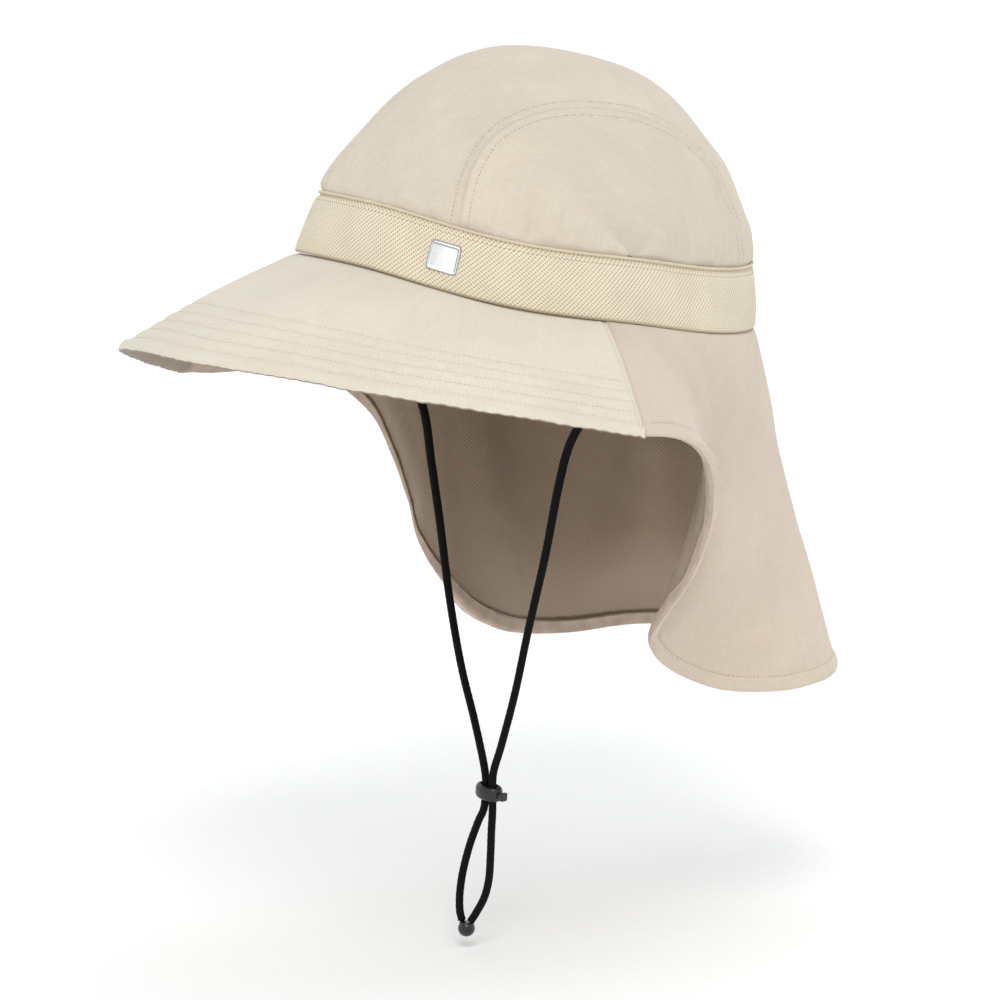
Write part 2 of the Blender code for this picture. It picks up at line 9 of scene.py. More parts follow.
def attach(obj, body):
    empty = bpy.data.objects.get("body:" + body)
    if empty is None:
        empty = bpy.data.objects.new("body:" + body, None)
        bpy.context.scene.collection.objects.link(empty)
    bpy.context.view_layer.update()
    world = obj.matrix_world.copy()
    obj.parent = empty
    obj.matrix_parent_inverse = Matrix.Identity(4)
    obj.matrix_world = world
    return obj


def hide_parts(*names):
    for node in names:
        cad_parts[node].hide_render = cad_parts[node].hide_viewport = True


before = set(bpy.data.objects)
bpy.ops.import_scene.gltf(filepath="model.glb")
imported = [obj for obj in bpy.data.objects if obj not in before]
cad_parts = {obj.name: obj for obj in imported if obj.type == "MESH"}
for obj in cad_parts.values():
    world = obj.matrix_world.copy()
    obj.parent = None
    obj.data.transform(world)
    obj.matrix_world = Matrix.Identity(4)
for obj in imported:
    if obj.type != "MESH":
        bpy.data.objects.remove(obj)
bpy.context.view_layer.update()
print("frame loaded:", len(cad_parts), "nodes")

# Camera: the side and height the photograph was taken from, far off with a long lens
cameraSettings = {
    "azimuth": 45.0,
    "elevation": 13.5,
    "distance": 6.0,
    "pixelsPerMetre": 2456.0,
    "hatPixel": (524.0, 296.6),  # where the head opening's centre lies in the picture
    "imageSize": 1000,
    "sensor": 36.0,
}


def makeCamera(s):
    turn, rise = np.radians([s["azimuth"], s["elevation"]])
    back = np.array([np.sin(turn) * np.cos(rise), -np.cos(turn) * np.cos(rise), np.sin(rise)])
    across = np.array([np.cos(turn), np.sin(turn), 0.0])
    up = np.cross(back, across)
    half = s["imageSize"] / 2
    right = (half - s["hatPixel"][0]) / s["pixelsPerMetre"]
    lift = (s["hatPixel"][1] - half) / s["pixelsPerMetre"]
    data = bpy.data.cameras.new("camera")
    data.sensor_width = s["sensor"]
    data.lens = s["sensor"] * s["pixelsPerMetre"] * s["distance"] / s["imageSize"]
    data.clip_start, data.clip_end = 0.1, 60.0
    made = bpy.data.objects.new("camera", data)
    made.matrix_world = Matrix(np.column_stack([across, up, back]).tolist()).to_4x4()
    made.location = Vector(across * right + up * lift + back * s["distance"])
    bpy.context.scene.collection.objects.link(made)
    bpy.context.scene.camera = made


makeCamera(cameraSettings)

# numbers, noise and curves that the pieces share

noiseCells = 32
noiseTable = np.random.default_rng(11).random((noiseCells,) * 3)
noiseRadius = 0.082  # turns an angle round the head into metres for the noise
sheetSharp, solidSharp = np.radians([50.0, 60.0])  # an edge bent more than this stays sharp


def softNoise(points, size):
    # smooth noise from -1 to 1 whose lumps are about size metres across
    spot = np.asarray(points, float) / size
    cell = np.floor(spot).astype(int)
    part = spot - cell
    part = part * part * (3 - 2 * part)
    total = np.zeros(spot.shape[:-1])
    for corner in product((0, 1), repeat=3):
        at = (cell + corner) % noiseCells
        weight = np.where(np.array(corner) == 1, part, 1 - part).prod(-1)
        total += weight * noiseTable[at[..., 0], at[..., 1], at[..., 2]]
    return total * 2 - 1


def ease(value):
    value = np.clip(value, 0.0, 1.0)
    return value * value * (3 - 2 * value)


def dip(distance, width):
    # 1 on a line and 0 well away from it
    return np.exp(-((distance / width) ** 2))


def readTable(rows, at):
    # a table read at any value of its first column, along a smooth curve through its rows
    table = np.array(rows, float)
    keys, values = table[:, 0], table[:, 1:]
    slopes = np.gradient(values, keys, axis=0)
    at = np.clip(np.atleast_1d(at), keys[0], keys[-1])
    index = np.clip(np.searchsorted(keys, at, side="right") - 1, 0, len(keys) - 2)
    span = (keys[index + 1] - keys[index])[:, None]
    share = (at - keys[index])[:, None] / span
    start = (values[index] * (1 + 2 * share) + slopes[index] * span * share) * (1 - share) ** 2
    end = (values[index + 1] * (3 - 2 * share) + slopes[index + 1] * span * (share - 1)) * share**2
    return start + end


def crowded(most, count):
    # steps from -1 to 1 that lie closer together towards both ends
    return np.sin(np.linspace(-most, most, count + 1)) / np.sin(most)


def walked(points, axis=0):
    # length walked along a line of points, or along each line of a grid
    steps = np.linalg.norm(np.diff(points, axis=axis), axis=-1)
    zero = np.zeros_like(np.take(steps, [0], axis=axis))
    return np.concatenate([zero, np.cumsum(steps, axis=axis)], axis=axis)


def evenLine(points, count):
    # count points at even steps along a line
    far = walked(points)
    at = np.linspace(0.0, far[-1], count)
    return np.column_stack([np.interp(at, far, points[:, k]) for k in range(points.shape[1])])


def gridNormals(grid):
    normal = np.cross(np.gradient(grid, axis=1), np.gradient(grid, axis=0))
    return normal / np.maximum(np.linalg.norm(normal, axis=-1, keepdims=True), 1e-12)


def link(made):
    bpy.context.scene.collection.objects.link(made)
    return made


def writeUv(mesh, uv, period=(0.0, 0.0)):
    # where a face spans the place at which a ring closes, its low side moves on by one round
    corners = np.empty(len(mesh.loops), np.int32)
    mesh.loops.foreach_get("vertex_index", corners)
    totals = np.empty(len(mesh.polygons), np.int32)
    mesh.polygons.foreach_get("loop_total", totals)
    owner = np.repeat(np.arange(len(totals)), totals)
    value = np.asarray(uv, float)[corners]
    for k, round_ in enumerate(period):
        low, high = np.full(len(totals), np.inf), np.full(len(totals), -np.inf)
        np.minimum.at(low, owner, value[:, k])
        np.maximum.at(high, owner, value[:, k])
        wide = (high - low > round_ / 2)[owner] if round_ else np.zeros(len(owner), bool)
        value[:, k] += np.where(wide & (value[:, k] < ((low + high) / 2)[owner]), round_, 0.0)
    layer = mesh.uv_layers.new(name="clothMetres")
    layer.data.foreach_set("uv", value.ravel())


def meshPiece(name, points, faces, finishes, uv, slots=None, period=(0.0, 0.0)):
    mesh = bpy.data.meshes.new(name)
    mesh.from_pydata(np.asarray(points, float).tolist(), [], np.asarray(faces).tolist())
    for finish in finishes:
        mesh.materials.append(finish)
    if slots is not None:
        mesh.polygons.foreach_set("material_index", np.asarray(slots, np.int32))
    writeUv(mesh, uv, period)
    mesh.calc_loop_triangles()
    a, b, c = (np.asarray(points)[[t.vertices[k] for t in mesh.loop_triangles]] for k in range(3))
    if np.einsum("ij,ij->i", a, np.cross(b, c)).sum() < 0:
        mesh.flip_normals()
    mesh.shade_smooth()
    mesh.set_sharp_from_angle(angle=sheetSharp)
    return link(bpy.data.objects.new(name, mesh))


def gridFaces(rows, steps, loopRows=False, loopSteps=False):
    r = np.arange(rows if loopRows else rows - 1)[:, None]
    s = np.arange(steps if loopSteps else steps - 1)[None, :]
    r2, s2 = (r + 1) % rows, (s + 1) % steps
    quads = np.stack([r * steps + s, r * steps + s2, r2 * steps + s2, r2 * steps + s], axis=-1)
    return quads.reshape(-1, 4)


def tubeFaces(count, sides):
    # faces of a tube of rings, each end closed by a fan round one more point
    faces = gridFaces(count, sides, loopSteps=True).tolist()
    for k in range(sides):
        n = (k + 1) % sides
        faces.append([count * sides, n, k])
        faces.append([count * sides + 1, (count - 1) * sides + k, (count - 1) * sides + n])
    return faces


def clothPiece(name, outer, inner, finishes, uv, closed=False, period=(0.0, 0.0)):
    # a thin closed wall between an outer and an inner grid; the second finish goes inside
    rows, steps = outer.shape[:2]
    sheet = gridFaces(rows, steps, loopRows=closed)
    back = sheet[:, ::-1] + rows * steps
    index = np.arange(rows * steps).reshape(rows, steps)
    edges = [(index[:, 0], False), (index[:, -1], True)]
    if closed:
        edges = [(np.append(line, line[0]), way) for line, way in edges]
    else:
        edges += [(index[0], True), (index[-1], False)]
    rims = []
    for line, way in edges:
        quad = np.stack([line[:-1], line[1:], line[1:] + rows * steps, line[:-1] + rows * steps], axis=-1)
        rims.append(quad[:, ::-1] if way else quad)
    faces = np.concatenate([sheet, back, *rims])
    slots = np.zeros(len(faces), int)
    slots[len(sheet) : 2 * len(sheet)] = len(finishes) - 1
    points = np.concatenate([outer.reshape(-1, 3), inner.reshape(-1, 3)])
    both = np.concatenate([uv.reshape(-1, 2), uv.reshape(-1, 2)])
    return meshPiece(name, points, faces, finishes, both, slots, period=period)


def clothUv(grid):
    # metres across and down the cloth, so a weave keeps its size
    down = walked(grid, axis=1)
    middle = walked(grid[:, grid.shape[1] // 2])
    across = np.broadcast_to(middle[:, None], down.shape)
    return np.stack([across - middle[-1] / 2, down], axis=-1)


def tubePiece(name, path, radius, sides, finish, relief):
    # a tube with closed ends along a path, with a frame that doesn't twist
    count = len(path)
    along = np.gradient(path, axis=0)
    along /= np.linalg.norm(along, axis=1, keepdims=True)
    side = np.cross(along[0], [0.0, 1.0, 0.2])
    frames = []
    for k in range(count):
        side = side - along[k] * (side @ along[k])
        side /= np.linalg.norm(side)
        frames.append((side.copy(), np.cross(along[k], side)))
    turn = np.arange(sides) * 2 * np.pi / sides
    far = walked(path)
    size = radius + relief(far[:, None], turn[None, :])
    a, b = np.array(frames).transpose(1, 0, 2)[:, :, None, :]
    ring = path[:, None, :] + size[..., None] * (a * np.cos(turn)[:, None] + b * np.sin(turn)[:, None])
    points = np.concatenate([ring.reshape(-1, 3), path[:1], path[-1:]])
    uv = np.stack(np.broadcast_arrays(turn[None, :] * radius, far[:, None]), axis=-1).reshape(-1, 2)
    uv = np.concatenate([uv, [[0, 0], [0, far[-1]]]])
    return mixedPiece(name, points, tubeFaces(count, sides), finish, uv, (2 * np.pi * radius, 0.0))


def mixedPiece(name, points, faces, finish, uv=None, period=(0.0, 0.0)):
    # like meshPiece, for faces with different numbers of corners
    mesh = bpy.data.meshes.new(name)
    mesh.from_pydata(np.asarray(points, float).tolist(), [], faces)
    mesh.materials.append(finish)
    if uv is not None:
        writeUv(mesh, uv, period)
    shape = bmesh.new()
    shape.from_mesh(mesh)
    bmesh.ops.recalc_face_normals(shape, faces=shape.faces[:])
    shape.to_mesh(mesh)
    shape.free()
    mesh.shade_smooth()
    mesh.set_sharp_from_angle(angle=solidSharp)
    return link(bpy.data.objects.new(name, mesh))


# shader maths and finishes


class Signal:
    # a number on a node's socket, so that shader maths reads as plain sums
    def __init__(self, finish, socket):
        self.finish, self.socket = finish, socket

    def math(self, operation, *others):
        return self.finish.node("Math", {"operation": operation}, dict(enumerate((self, *others))))

    def __add__(self, other):
        return self.math("ADD", other)

    def __sub__(self, other):
        return self.math("SUBTRACT", other)

    def __rsub__(self, other):
        return self.finish.node("Math", {"operation": "SUBTRACT"}, {0: other, 1: self})

    def __mul__(self, other):
        return self.math("MULTIPLY", other)

    __radd__ = __add__
    __rmul__ = __mul__

    def wave(self, pitch):
        # a ridge of height 0 to 1 each pitch
        return (self * (np.pi / pitch)).math("SINE").math("ABSOLUTE")

    def swing(self, pitch):
        # from -1 to 1, changing sign each pitch
        return (self * (np.pi / pitch)).math("SINE")

    def between(self, low, high):
        # 0 below low, 1 above high and smooth between them
        values = {"Value": self, "From Min": low, "From Max": high}
        return self.finish.node("MapRange", {"interpolation_type": "SMOOTHSTEP"}, values)


class Finish:
    def __init__(self, name, sockets):
        self.material = bpy.data.materials.new(name)
        self.material.use_nodes = True
        self.tree = self.material.node_tree
        self.shader = self.tree.nodes["Principled BSDF"]
        for label, value in sockets.items():
            self.feed(self.shader.inputs[label], value)

    def feed(self, socket, value):
        if isinstance(value, Signal):
            self.tree.links.new(value.socket, socket)
        else:
            socket.default_value = value

    def node(self, kind, settings, values, out=0):
        made = self.tree.nodes.new("ShaderNode" + kind)
        for label, value in settings.items():
            setattr(made, label, value)
        for key, value in values.items():
            self.feed(made.inputs[key], value)
        return Signal(self, made.outputs[out])

    def cloth(self):
        # metres across and down the cloth, as two signals and as one vector
        where = self.node("UVMap", {"uv_map": "clothMetres"}, {})
        return tuple(self.node("SeparateXYZ", {}, {0: where}, out=k) for k in (0, 1)) + (where,)

    def place(self):
        return self.node("TexCoord", {}, {}, out="Object")

    def noise(self, where, size, stretch=(1, 1, 1), detail=2.0, rough=0.5):
        scaled = self.node("Mapping", {}, {"Vector": where, "Scale": [k / size for k in stretch]})
        values = {"Vector": scaled, "Scale": 1.0, "Detail": detail, "Roughness": rough}
        return self.node("TexNoise", {}, values)

    def mix(self, factor, first, second):
        return self.node("Mix", {"data_type": "RGBA"}, {0: factor, 6: first, 7: second}, out=2)

    def finish(self, colour, roughness, height):
        self.feed(self.shader.inputs["Base Color"], colour)
        self.feed(self.shader.inputs["Roughness"], roughness)
        bump = self.node("Bump", {}, {"Strength": 1.0, "Distance": 1.0, "Height": height})
        self.feed(self.shader.inputs["Normal"], bump)
        return self.material


def tint(colour, by=1.0):
    return (*[min(c * by, 1.0) for c in colour], 1.0)


def wovenCloth(name, s):
    # plain weave with uneven threads, soft patches of tone and a faint crinkle
    f = Finish(name, {"Sheen Weight": s["sheen"], "Sheen Roughness": 0.45, "Specular IOR Level": 0.28})
    u, v, where = f.cloth()
    over = (u.swing(s["thread"]) * v.swing(s["thread"])).between(-0.1, 0.1)
    weave = over * u.wave(s["thread"]) + (1 - over) * v.wave(s["thread"])
    slub = f.noise(where, 0.0011, stretch=(1, 0.12, 1)) + f.noise(where, 0.0011, stretch=(0.12, 1, 1))
    patch = f.noise(where, s["patch"], detail=3.0)
    fuzz = f.noise(where, 0.00035, detail=1.0)
    tone = f.mix(patch.between(0.3, 0.7), tint(s["colour"], 0.965), tint(s["colour"], 1.03))
    tone = f.mix((slub * 0.5).between(0.38, 0.62), f.mix(0.13, tone, tint(s["shade"])), tone)
    # painted shade: the cloth darkens by gap in the low places between the threads
    tone = f.mix(weave.between(0.0, 0.55), f.mix(s["gap"], tone, tint(s["shade"])), tone)
    crinkle = f.noise(where, s["crinkle"], detail=3.0, rough=0.55)
    height = weave * s["relief"] + slub * 0.00003 + fuzz * 0.00002 + crinkle * s["crease"]
    return f.finish(tone, patch * 0.1 + (s["rough"] - 0.05), height)


def meshKnit(name, s):
    # knit with staggered pin holes between fine upright wales; a cape's plain hem lies along its free edge
    f = Finish(name, {"Sheen Weight": s["sheen"], "Sheen Roughness": 0.5, "Specular IOR Level": 0.25})
    u, v, where = f.cloth()
    lean = u + v * s["lean"]
    hole = lean.swing(s["across"]) * v.swing(s["down"])
    hole = hole.between(s["open"], s["open"] + 0.35)
    wale = lean.wave(s["across"] / 2)
    loop = v.wave(s["down"] / 2)
    patch = f.noise(where, s["patch"], detail=3.0)
    fuzz = f.noise(where, 0.0003, detail=1.0)
    tone = f.mix(patch.between(0.3, 0.7), tint(s["colour"], 0.96), tint(s["colour"], 1.04))
    # painted shade: darker between the wales and, by dark, in the sunken pin holes
    tone = f.mix(wale.between(0.0, 0.7), f.mix(0.12, tone, tint(s["shade"])), tone)
    tone = f.mix(hole, tone, f.mix(s["dark"], tone, tint(s["shade"])))
    height = wale * s["relief"] + loop * (s["relief"] / 2) + fuzz * 0.00003 - hole * s["depth"]
    # painted shade along the band's lower edge, where it tucks under towards the brim
    if "fold" in s:
        tone = f.mix((1 - v.between(0.0003, 0.0014)) * s["fold"], tone, tint(s["shade"]))
    if "hem" in s:
        away = f.node("Attribute", {"attribute_name": "edgeAway"}, {}, out=2)
        knitted = away.between(s["hemWidth"] - 0.0003, s["hemWidth"] + 0.0001)
        # painted shadow: fold marks a dark line on the lining just past the turned hem's edge
        fold = knitted * (1 - away.between(s["hemWidth"] + 0.0003, s["hemWidth"] + 0.0016))
        crumple = f.noise(where, 0.0045, stretch=(1, 0.5, 1), detail=3.0)
        # painted light: the lining grows lighter towards the cape's free edge, where more light reaches in
        paintedEdgeLight = (1 - away.between(0.006, 0.055)) * 0.42
        tone = f.mix(paintedEdgeLight, tone, tint(s["hem"], 1.05))
        # painted shade: the hem strip is darker where its crumples sink
        strip = f.mix(crumple.between(0.3, 0.7), tint(s["hem"], 0.88), tint(s["hem"], 1.1))
        tone = f.mix(fold * 0.75, f.mix(knitted, strip, tone), tint(s["shade"], 0.8))
        height = height * knitted + crumple * 0.0006 * (1 - knitted)
    return f.finish(tone, hole * 0.08 + (s["rough"] - 0.03), height)


# gap: how much painted shade darkens the low places between the threads
clothSettings = {
    "crown": {
        "colour": (0.655, 0.583, 0.478), "shade": (0.42, 0.33, 0.235), "thread": 0.00045, "gap": 0.22,
        "relief": 0.00007, "patch": 0.035, "crinkle": 0.012, "crease": 0.00085, "sheen": 0.22, "rough": 0.78,
    },
    "brim": {
        "colour": (0.705, 0.647, 0.545), "shade": (0.44, 0.35, 0.25), "thread": 0.00045, "gap": 0.20,
        "relief": 0.00007, "patch": 0.045, "crinkle": 0.016, "crease": 0.00040, "sheen": 0.22, "rough": 0.78,
    },
    "cape": {
        "colour": (0.630, 0.533, 0.434), "shade": (0.42, 0.32, 0.24), "thread": 0.00042, "gap": 0.18,
        "relief": 0.00006, "patch": 0.05, "crinkle": 0.020, "crease": 0.00070, "sheen": 0.25, "rough": 0.82,
    },
    # under: the brim's cloth painted dark as the shade on the brim's underside
    "under": {
        "colour": (0.330, 0.270, 0.210), "shade": (0.18, 0.14, 0.10), "thread": 0.00042, "gap": 0.20,
        "relief": 0.00006, "patch": 0.05, "crinkle": 0.02, "crease": 0.0003, "sheen": 0.2, "rough": 0.82,
    },
    "piping": {
        "colour": (0.690, 0.595, 0.440), "shade": (0.38, 0.29, 0.18), "thread": 0.00050, "gap": 0.30,
        "relief": 0.00008, "patch": 0.02, "crinkle": 0.004, "crease": 0.00015, "sheen": 0.2, "rough": 0.8,
    },
}
# dark: how much painted shade darkens the pin holes
knitSettings = {
    "band": {
        "colour": (0.790, 0.705, 0.535), "shade": (0.36, 0.26, 0.145), "across": 0.00100, "down": 0.00085,
        # fold: strength of the painted shade along the band's lower edge
        "fold": 0.7, "lean": 0.35, "open": 0.30, "dark": 0.80, "relief": 0.00010, "depth": 0.00022,
        "patch": 0.02, "sheen": 0.25, "rough": 0.8,
    },
    # inside: the lining knit with its own dots, its tone darkened as painted shade inside the hat
    "inside": {
        "colour": (0.365, 0.275, 0.195), "shade": (0.12, 0.082, 0.052), "across": 0.00095, "down": 0.00085,
        "lean": 0.0, "open": 0.40, "dark": 0.6, "relief": 0.00008, "depth": 0.00014, "patch": 0.03,
        "sheen": 0.15, "rough": 0.85,
    },
}
# the cape's lining keeps this darkened tone; its hem strip is partly the turned hem's own tone, partly
# painted shade
liningSettings = {**knitSettings["inside"], "hem": (0.46, 0.365, 0.290), "hemWidth": 0.0066}
cloths = [wovenCloth(name + "Cloth", s) for name, s in clothSettings.items()]
crownCloth, brimCloth, capeCloth, shadedUnderCloth, pipingCloth = cloths
bandKnit, shadedInsideKnit = (meshKnit(name + "Knit", s) for name, s in knitSettings.items())
shadedCapeLining = meshKnit("shadedCapeLining", liningSettings)


def threadFinish(name, colour):
    # twisted sewing thread
    f = Finish(name, {"Sheen Weight": 0.2, "Specular IOR Level": 0.3})
    where = f.place()
    twist = f.noise(where, 0.0004, detail=2.0)
    shade = f.noise(where, 0.01, detail=1.0)
    tone = f.mix(twist.between(0.35, 0.65), tint(colour, 0.8), tint(colour, 1.08))
    tone = f.mix(shade.between(0.3, 0.7) * 0.25, tone, tint(colour, 0.9))
    return f.finish(tone, twist * 0.2 + 0.55, twist * 0.00006)


def braidFinish(name, colour):
    # fine fibres in each strand of the elastic's braided cover
    f = Finish(name, {"Sheen Weight": 0.01, "Sheen Roughness": 0.35, "Specular IOR Level": 0.12})
    u, v, where = f.cloth()
    fibre = f.noise(where, 0.00022, stretch=(1, 0.2, 1), detail=2.0)
    cross = (u + v).wave(0.00028) * 0.5 + (u - v).wave(0.00028) * 0.5
    patch = f.noise(where, 0.006, detail=2.0)
    tone = f.mix(fibre.between(0.35, 0.7), tint(colour, 0.6), tint(colour, 1.5))
    tone = f.mix(patch.between(0.3, 0.8) * 0.3, tone, tint(colour, 2.0))
    return f.finish(tone, fibre * 0.2 + 0.6, cross * 0.00004 + fibre * 0.00003)


def plasticFinish(name, colour, grain):
    # moulded plastic with a fine spark grain and faint handling marks
    f = Finish(name, {"Specular IOR Level": 0.5, "Coat Roughness": 0.25})
    where = f.place()
    spark = f.noise(where, grain, detail=2.0)
    flow = f.noise(where, 0.004, stretch=(1, 1, 0.4), detail=3.0)
    scuff = f.noise(where, 0.0009, stretch=(0.2, 1, 1), detail=4.0, rough=0.6).between(0.56, 0.72)
    tone = f.mix(flow.between(0.3, 0.7), tint(colour, 0.85), tint(colour, 1.25))
    tone = f.mix(scuff * 0.35, tone, tint(colour, 2.2))
    f.feed(f.shader.inputs["Coat Weight"], flow * 0.3)
    return f.finish(tone, spark * 0.1 + scuff * 0.14 + 0.24, spark * 0.00002 + flow * 0.00004)


def metalFinish(name, colour):
    # satin silver, brushed along its width
    f = Finish(name, {"Metallic": 1.0, "Specular IOR Level": 0.5})
    where = f.place()
    brush = f.noise(where, 0.00016, stretch=(0.08, 0.08, 1), detail=3.0, rough=0.6)
    cloud = f.noise(where, 0.005, detail=2.0)
    tone = f.mix(brush.between(0.3, 0.7), tint(colour, 0.86), tint(colour, 1.06))
    tone = f.mix(cloud.between(0.35, 0.75) * 0.3, tone, tint(colour, 0.85))
    return f.finish(tone, brush * 0.16 + cloud * 0.1 + 0.22, brush * 0.00001)


# the first thread is darker than the cloth: partly its own tone, partly painted shade of the stitch holes
paleThread = threadFinish("paleThread", (0.365, 0.280, 0.175))
creamThread = threadFinish("creamThread", (0.500, 0.425, 0.315))
blackBraid = braidFinish("blackBraid", (0.0028, 0.0028, 0.0030))
lockPlastic = plasticFinish("lockPlastic", (0.0060, 0.0062, 0.0068), 0.0005)
beadPlastic = plasticFinish("beadPlastic", (0.0080, 0.0080, 0.0085), 0.0004)
plateMetal = metalFinish("plateMetal", (0.47, 0.475, 0.48))
print("finishes made")

# chin cord: two elastic cords, the lock that both run through, and the end bead

cordSettings = {
    "diameter": 0.0032,
    "fuller": 0.0002,  # what the slack upper part adds to the radius
    "strands": 8,  # strands each way round the braid
    "braidPitch": 0.0105,
    "braidRelief": 0.00016,
    "sides": 32,
    "step": 0.00042,
    # the routes of the cords as the solids have them, from the temple through the lock to the bead
    "left": [
        (0.0775, -0.0125, 0.0045), (0.0745, -0.0128, -0.0080), (0.0665, -0.0136, -0.0200),
        (0.0560, -0.0142, -0.0320), (0.0470, -0.0147, -0.0430), (0.0400, -0.0150, -0.0550),
        (0.0345, -0.0153, -0.0730), (0.0280, -0.0158, -0.1010), (0.0190, -0.0166, -0.1340),
        (0.0125, -0.0176, -0.1610), (0.0060, -0.0190, -0.1840), (0.0024, -0.0200, -0.1960),
        (0.0021, -0.0202, -0.2050), (0.0020, -0.0202, -0.2130), (0.0014, -0.0202, -0.2210),
        (0.0010, -0.0203, -0.2310), (0.0006, -0.0208, -0.2410), (-0.0010, -0.0218, -0.2490),
        (-0.0040, -0.0235, -0.2558), (-0.0062, -0.0246, -0.2598),
    ],
    "right": [
        (-0.0775, -0.0125, 0.0045), (-0.0745, -0.0128, -0.0080), (-0.0665, -0.0136, -0.0200),
        (-0.0560, -0.0142, -0.0320), (-0.0480, -0.0147, -0.0430), (-0.0420, -0.0150, -0.0550),
        (-0.0385, -0.0151, -0.0730), (-0.0335, -0.0154, -0.0960), (-0.0270, -0.0161, -0.1280),
        (-0.0195, -0.0169, -0.1550), (-0.0105, -0.0180, -0.1770), (-0.0028, -0.0198, -0.1960),
        (-0.0021, -0.0202, -0.2050), (-0.0028, -0.0203, -0.2120), (-0.0060, -0.0206, -0.2185),
        (-0.0100, -0.0215, -0.2290), (-0.0125, -0.0228, -0.2400), (-0.0133, -0.0238, -0.2490),
        (-0.0122, -0.0250, -0.2558), (-0.0101, -0.0258, -0.2598),
    ],
}


def cordPath(route, step):
    route = np.array(route)
    keys = np.arange(len(route), dtype=float)
    fine = readTable(np.column_stack([keys, route]), np.linspace(0, keys[-1], 2000))
    return evenLine(fine, int(walked(fine)[-1] / step) + 1)


def braidRelief(s):
    # over and under of the strands that wind both ways round the cord
    def relief(far, turn):
        wind = 2 * np.pi * far / s["braidPitch"]
        one = np.sin((turn * s["strands"] / 2 + wind * s["strands"] / 4))
        two = np.sin((turn * s["strands"] / 2 - wind * s["strands"] / 4))
        over = ease(0.5 + 2.2 * one * two)
        rise = over * np.abs(np.cos(turn * s["strands"] / 2 + wind * s["strands"] / 4))
        rise = rise + (1 - over) * np.abs(np.cos(turn * s["strands"] / 2 - wind * s["strands"] / 4))
        return s["braidRelief"] * (rise - 0.75) + s["fuller"] * (1 - ease((far - 0.05) / 0.13))

    return relief


def makeCord(name, side, s):
    path = cordPath(s[side], s["step"])
    made = tubePiece(name, path, s["diameter"] / 2, s["sides"], blackBraid, braidRelief(s))
    return made, path


cordLeft, pathLeft = makeCord("chinCordLeft", "left", cordSettings)
cordRight, pathRight = makeCord("chinCordRight", "right", cordSettings)

lockSettings = {
    "centre": (0.0, -0.0202, -0.2045),
    "width": 0.0128,
    "height": 0.0060,
    "depth": 0.0092,
    "slotWidth": 0.0042,  # half the slot that both cords pass through
    "slotDepth": 0.0021,
    "endWidth": 0.75,  # the barrel's ends as shares of its middle
    "endDepth": 0.60,
    "waist": 0.02,
    "waistWidth": 0.0006,
    "sides": 96,
    "rows": 28,
    "tilt": np.radians(6.0),
    "buttonLength": 0.0032,
    "buttonWidth": 0.0033,
    "buttonRound": 0.0006,
}


def lockPlace(s):
    # the lock hangs a little askew on its cords
    return Matrix.Translation(s["centre"]) @ Matrix.Rotation(s["tilt"], 4, "Y")


def makeLock(s):
    # a rounded oval barrel, open from top to bottom, with a shallow waist round its middle
    turn = np.arange(s["sides"]) * 2 * np.pi / s["sides"]
    level = np.linspace(-np.pi / 2, np.pi / 2, s["rows"])
    swell = np.cos(level) ** 0.75
    height = s["height"] / 2 * np.sin(level)
    waist = 1 - s["waist"] * dip(height, s["waistWidth"])
    x = s["width"] / 2 * np.cos(turn)
    y = s["depth"] / 2 * np.sign(np.sin(turn)) * np.abs(np.sin(turn)) ** 0.92
    outer = np.zeros((len(turn), len(level), 3))
    outer[..., 0] = x[:, None] * ((s["endWidth"] + (1 - s["endWidth"]) * swell) * waist)
    outer[..., 1] = y[:, None] * ((s["endDepth"] + (1 - s["endDepth"]) * swell) * waist)
    outer[..., 2] = height
    side = np.maximum(np.abs(np.cos(turn)) / s["slotWidth"], np.abs(np.sin(turn)) / s["slotDepth"])
    reach = 1 / side[:, None] + 0.0002 * (1 - np.cos(level) ** 0.35)
    inner = np.zeros_like(outer)
    inner[..., 0] = np.cos(turn)[:, None] * reach
    inner[..., 1] = np.sin(turn)[:, None] * reach
    inner[..., 2] = height
    uv = np.zeros(outer.shape[:2] + (2,))
    made = clothPiece("cordLockBody", outer, inner, [lockPlastic], uv, closed=True)
    made.data.transform(lockPlace(s))
    return made


def makeButton(s):
    # square push button with a narrow collar where it enters the barrel
    shape = bmesh.new()
    # length and width as shares of the button's, and how far ahead of the barrel each block sits
    for longShare, wideShare, ahead in ((0.62, 1.0, 0.62), (1.0, 0.72, 0.0)):
        length, width = s["buttonLength"] * longShare, s["buttonWidth"] * wideShare
        cube = bmesh.ops.create_cube(shape, size=1.0)["verts"]
        bmesh.ops.scale(shape, vec=(length, width, width), verts=cube)
        shift = s["width"] / 2 + s["buttonLength"] * (0.5 + ahead / 2) - 0.0007
        bmesh.ops.translate(shape, vec=(shift, 0, 0), verts=cube)
    bmesh.ops.bevel(shape, geom=shape.edges[:], offset=s["buttonRound"] / 2, segments=3, affect="EDGES")
    shape.transform(lockPlace(s))
    mesh = bpy.data.meshes.new("cordLockButton")
    shape.to_mesh(mesh)
    shape.free()
    mesh.materials.append(lockPlastic)
    mesh.shade_smooth()
    mesh.set_sharp_from_angle(angle=np.radians(40))
    return link(bpy.data.objects.new("cordLockButton", mesh))


beadSettings = {
    "centre": (-0.0081, -0.0252, -0.2630),
    "diameter": 0.0070,
    "sides": 48,
    "rows": 36,
    "collar": 0.0021,
    "collarTop": 0.60,  # where the collar starts, as a share of the radius
}


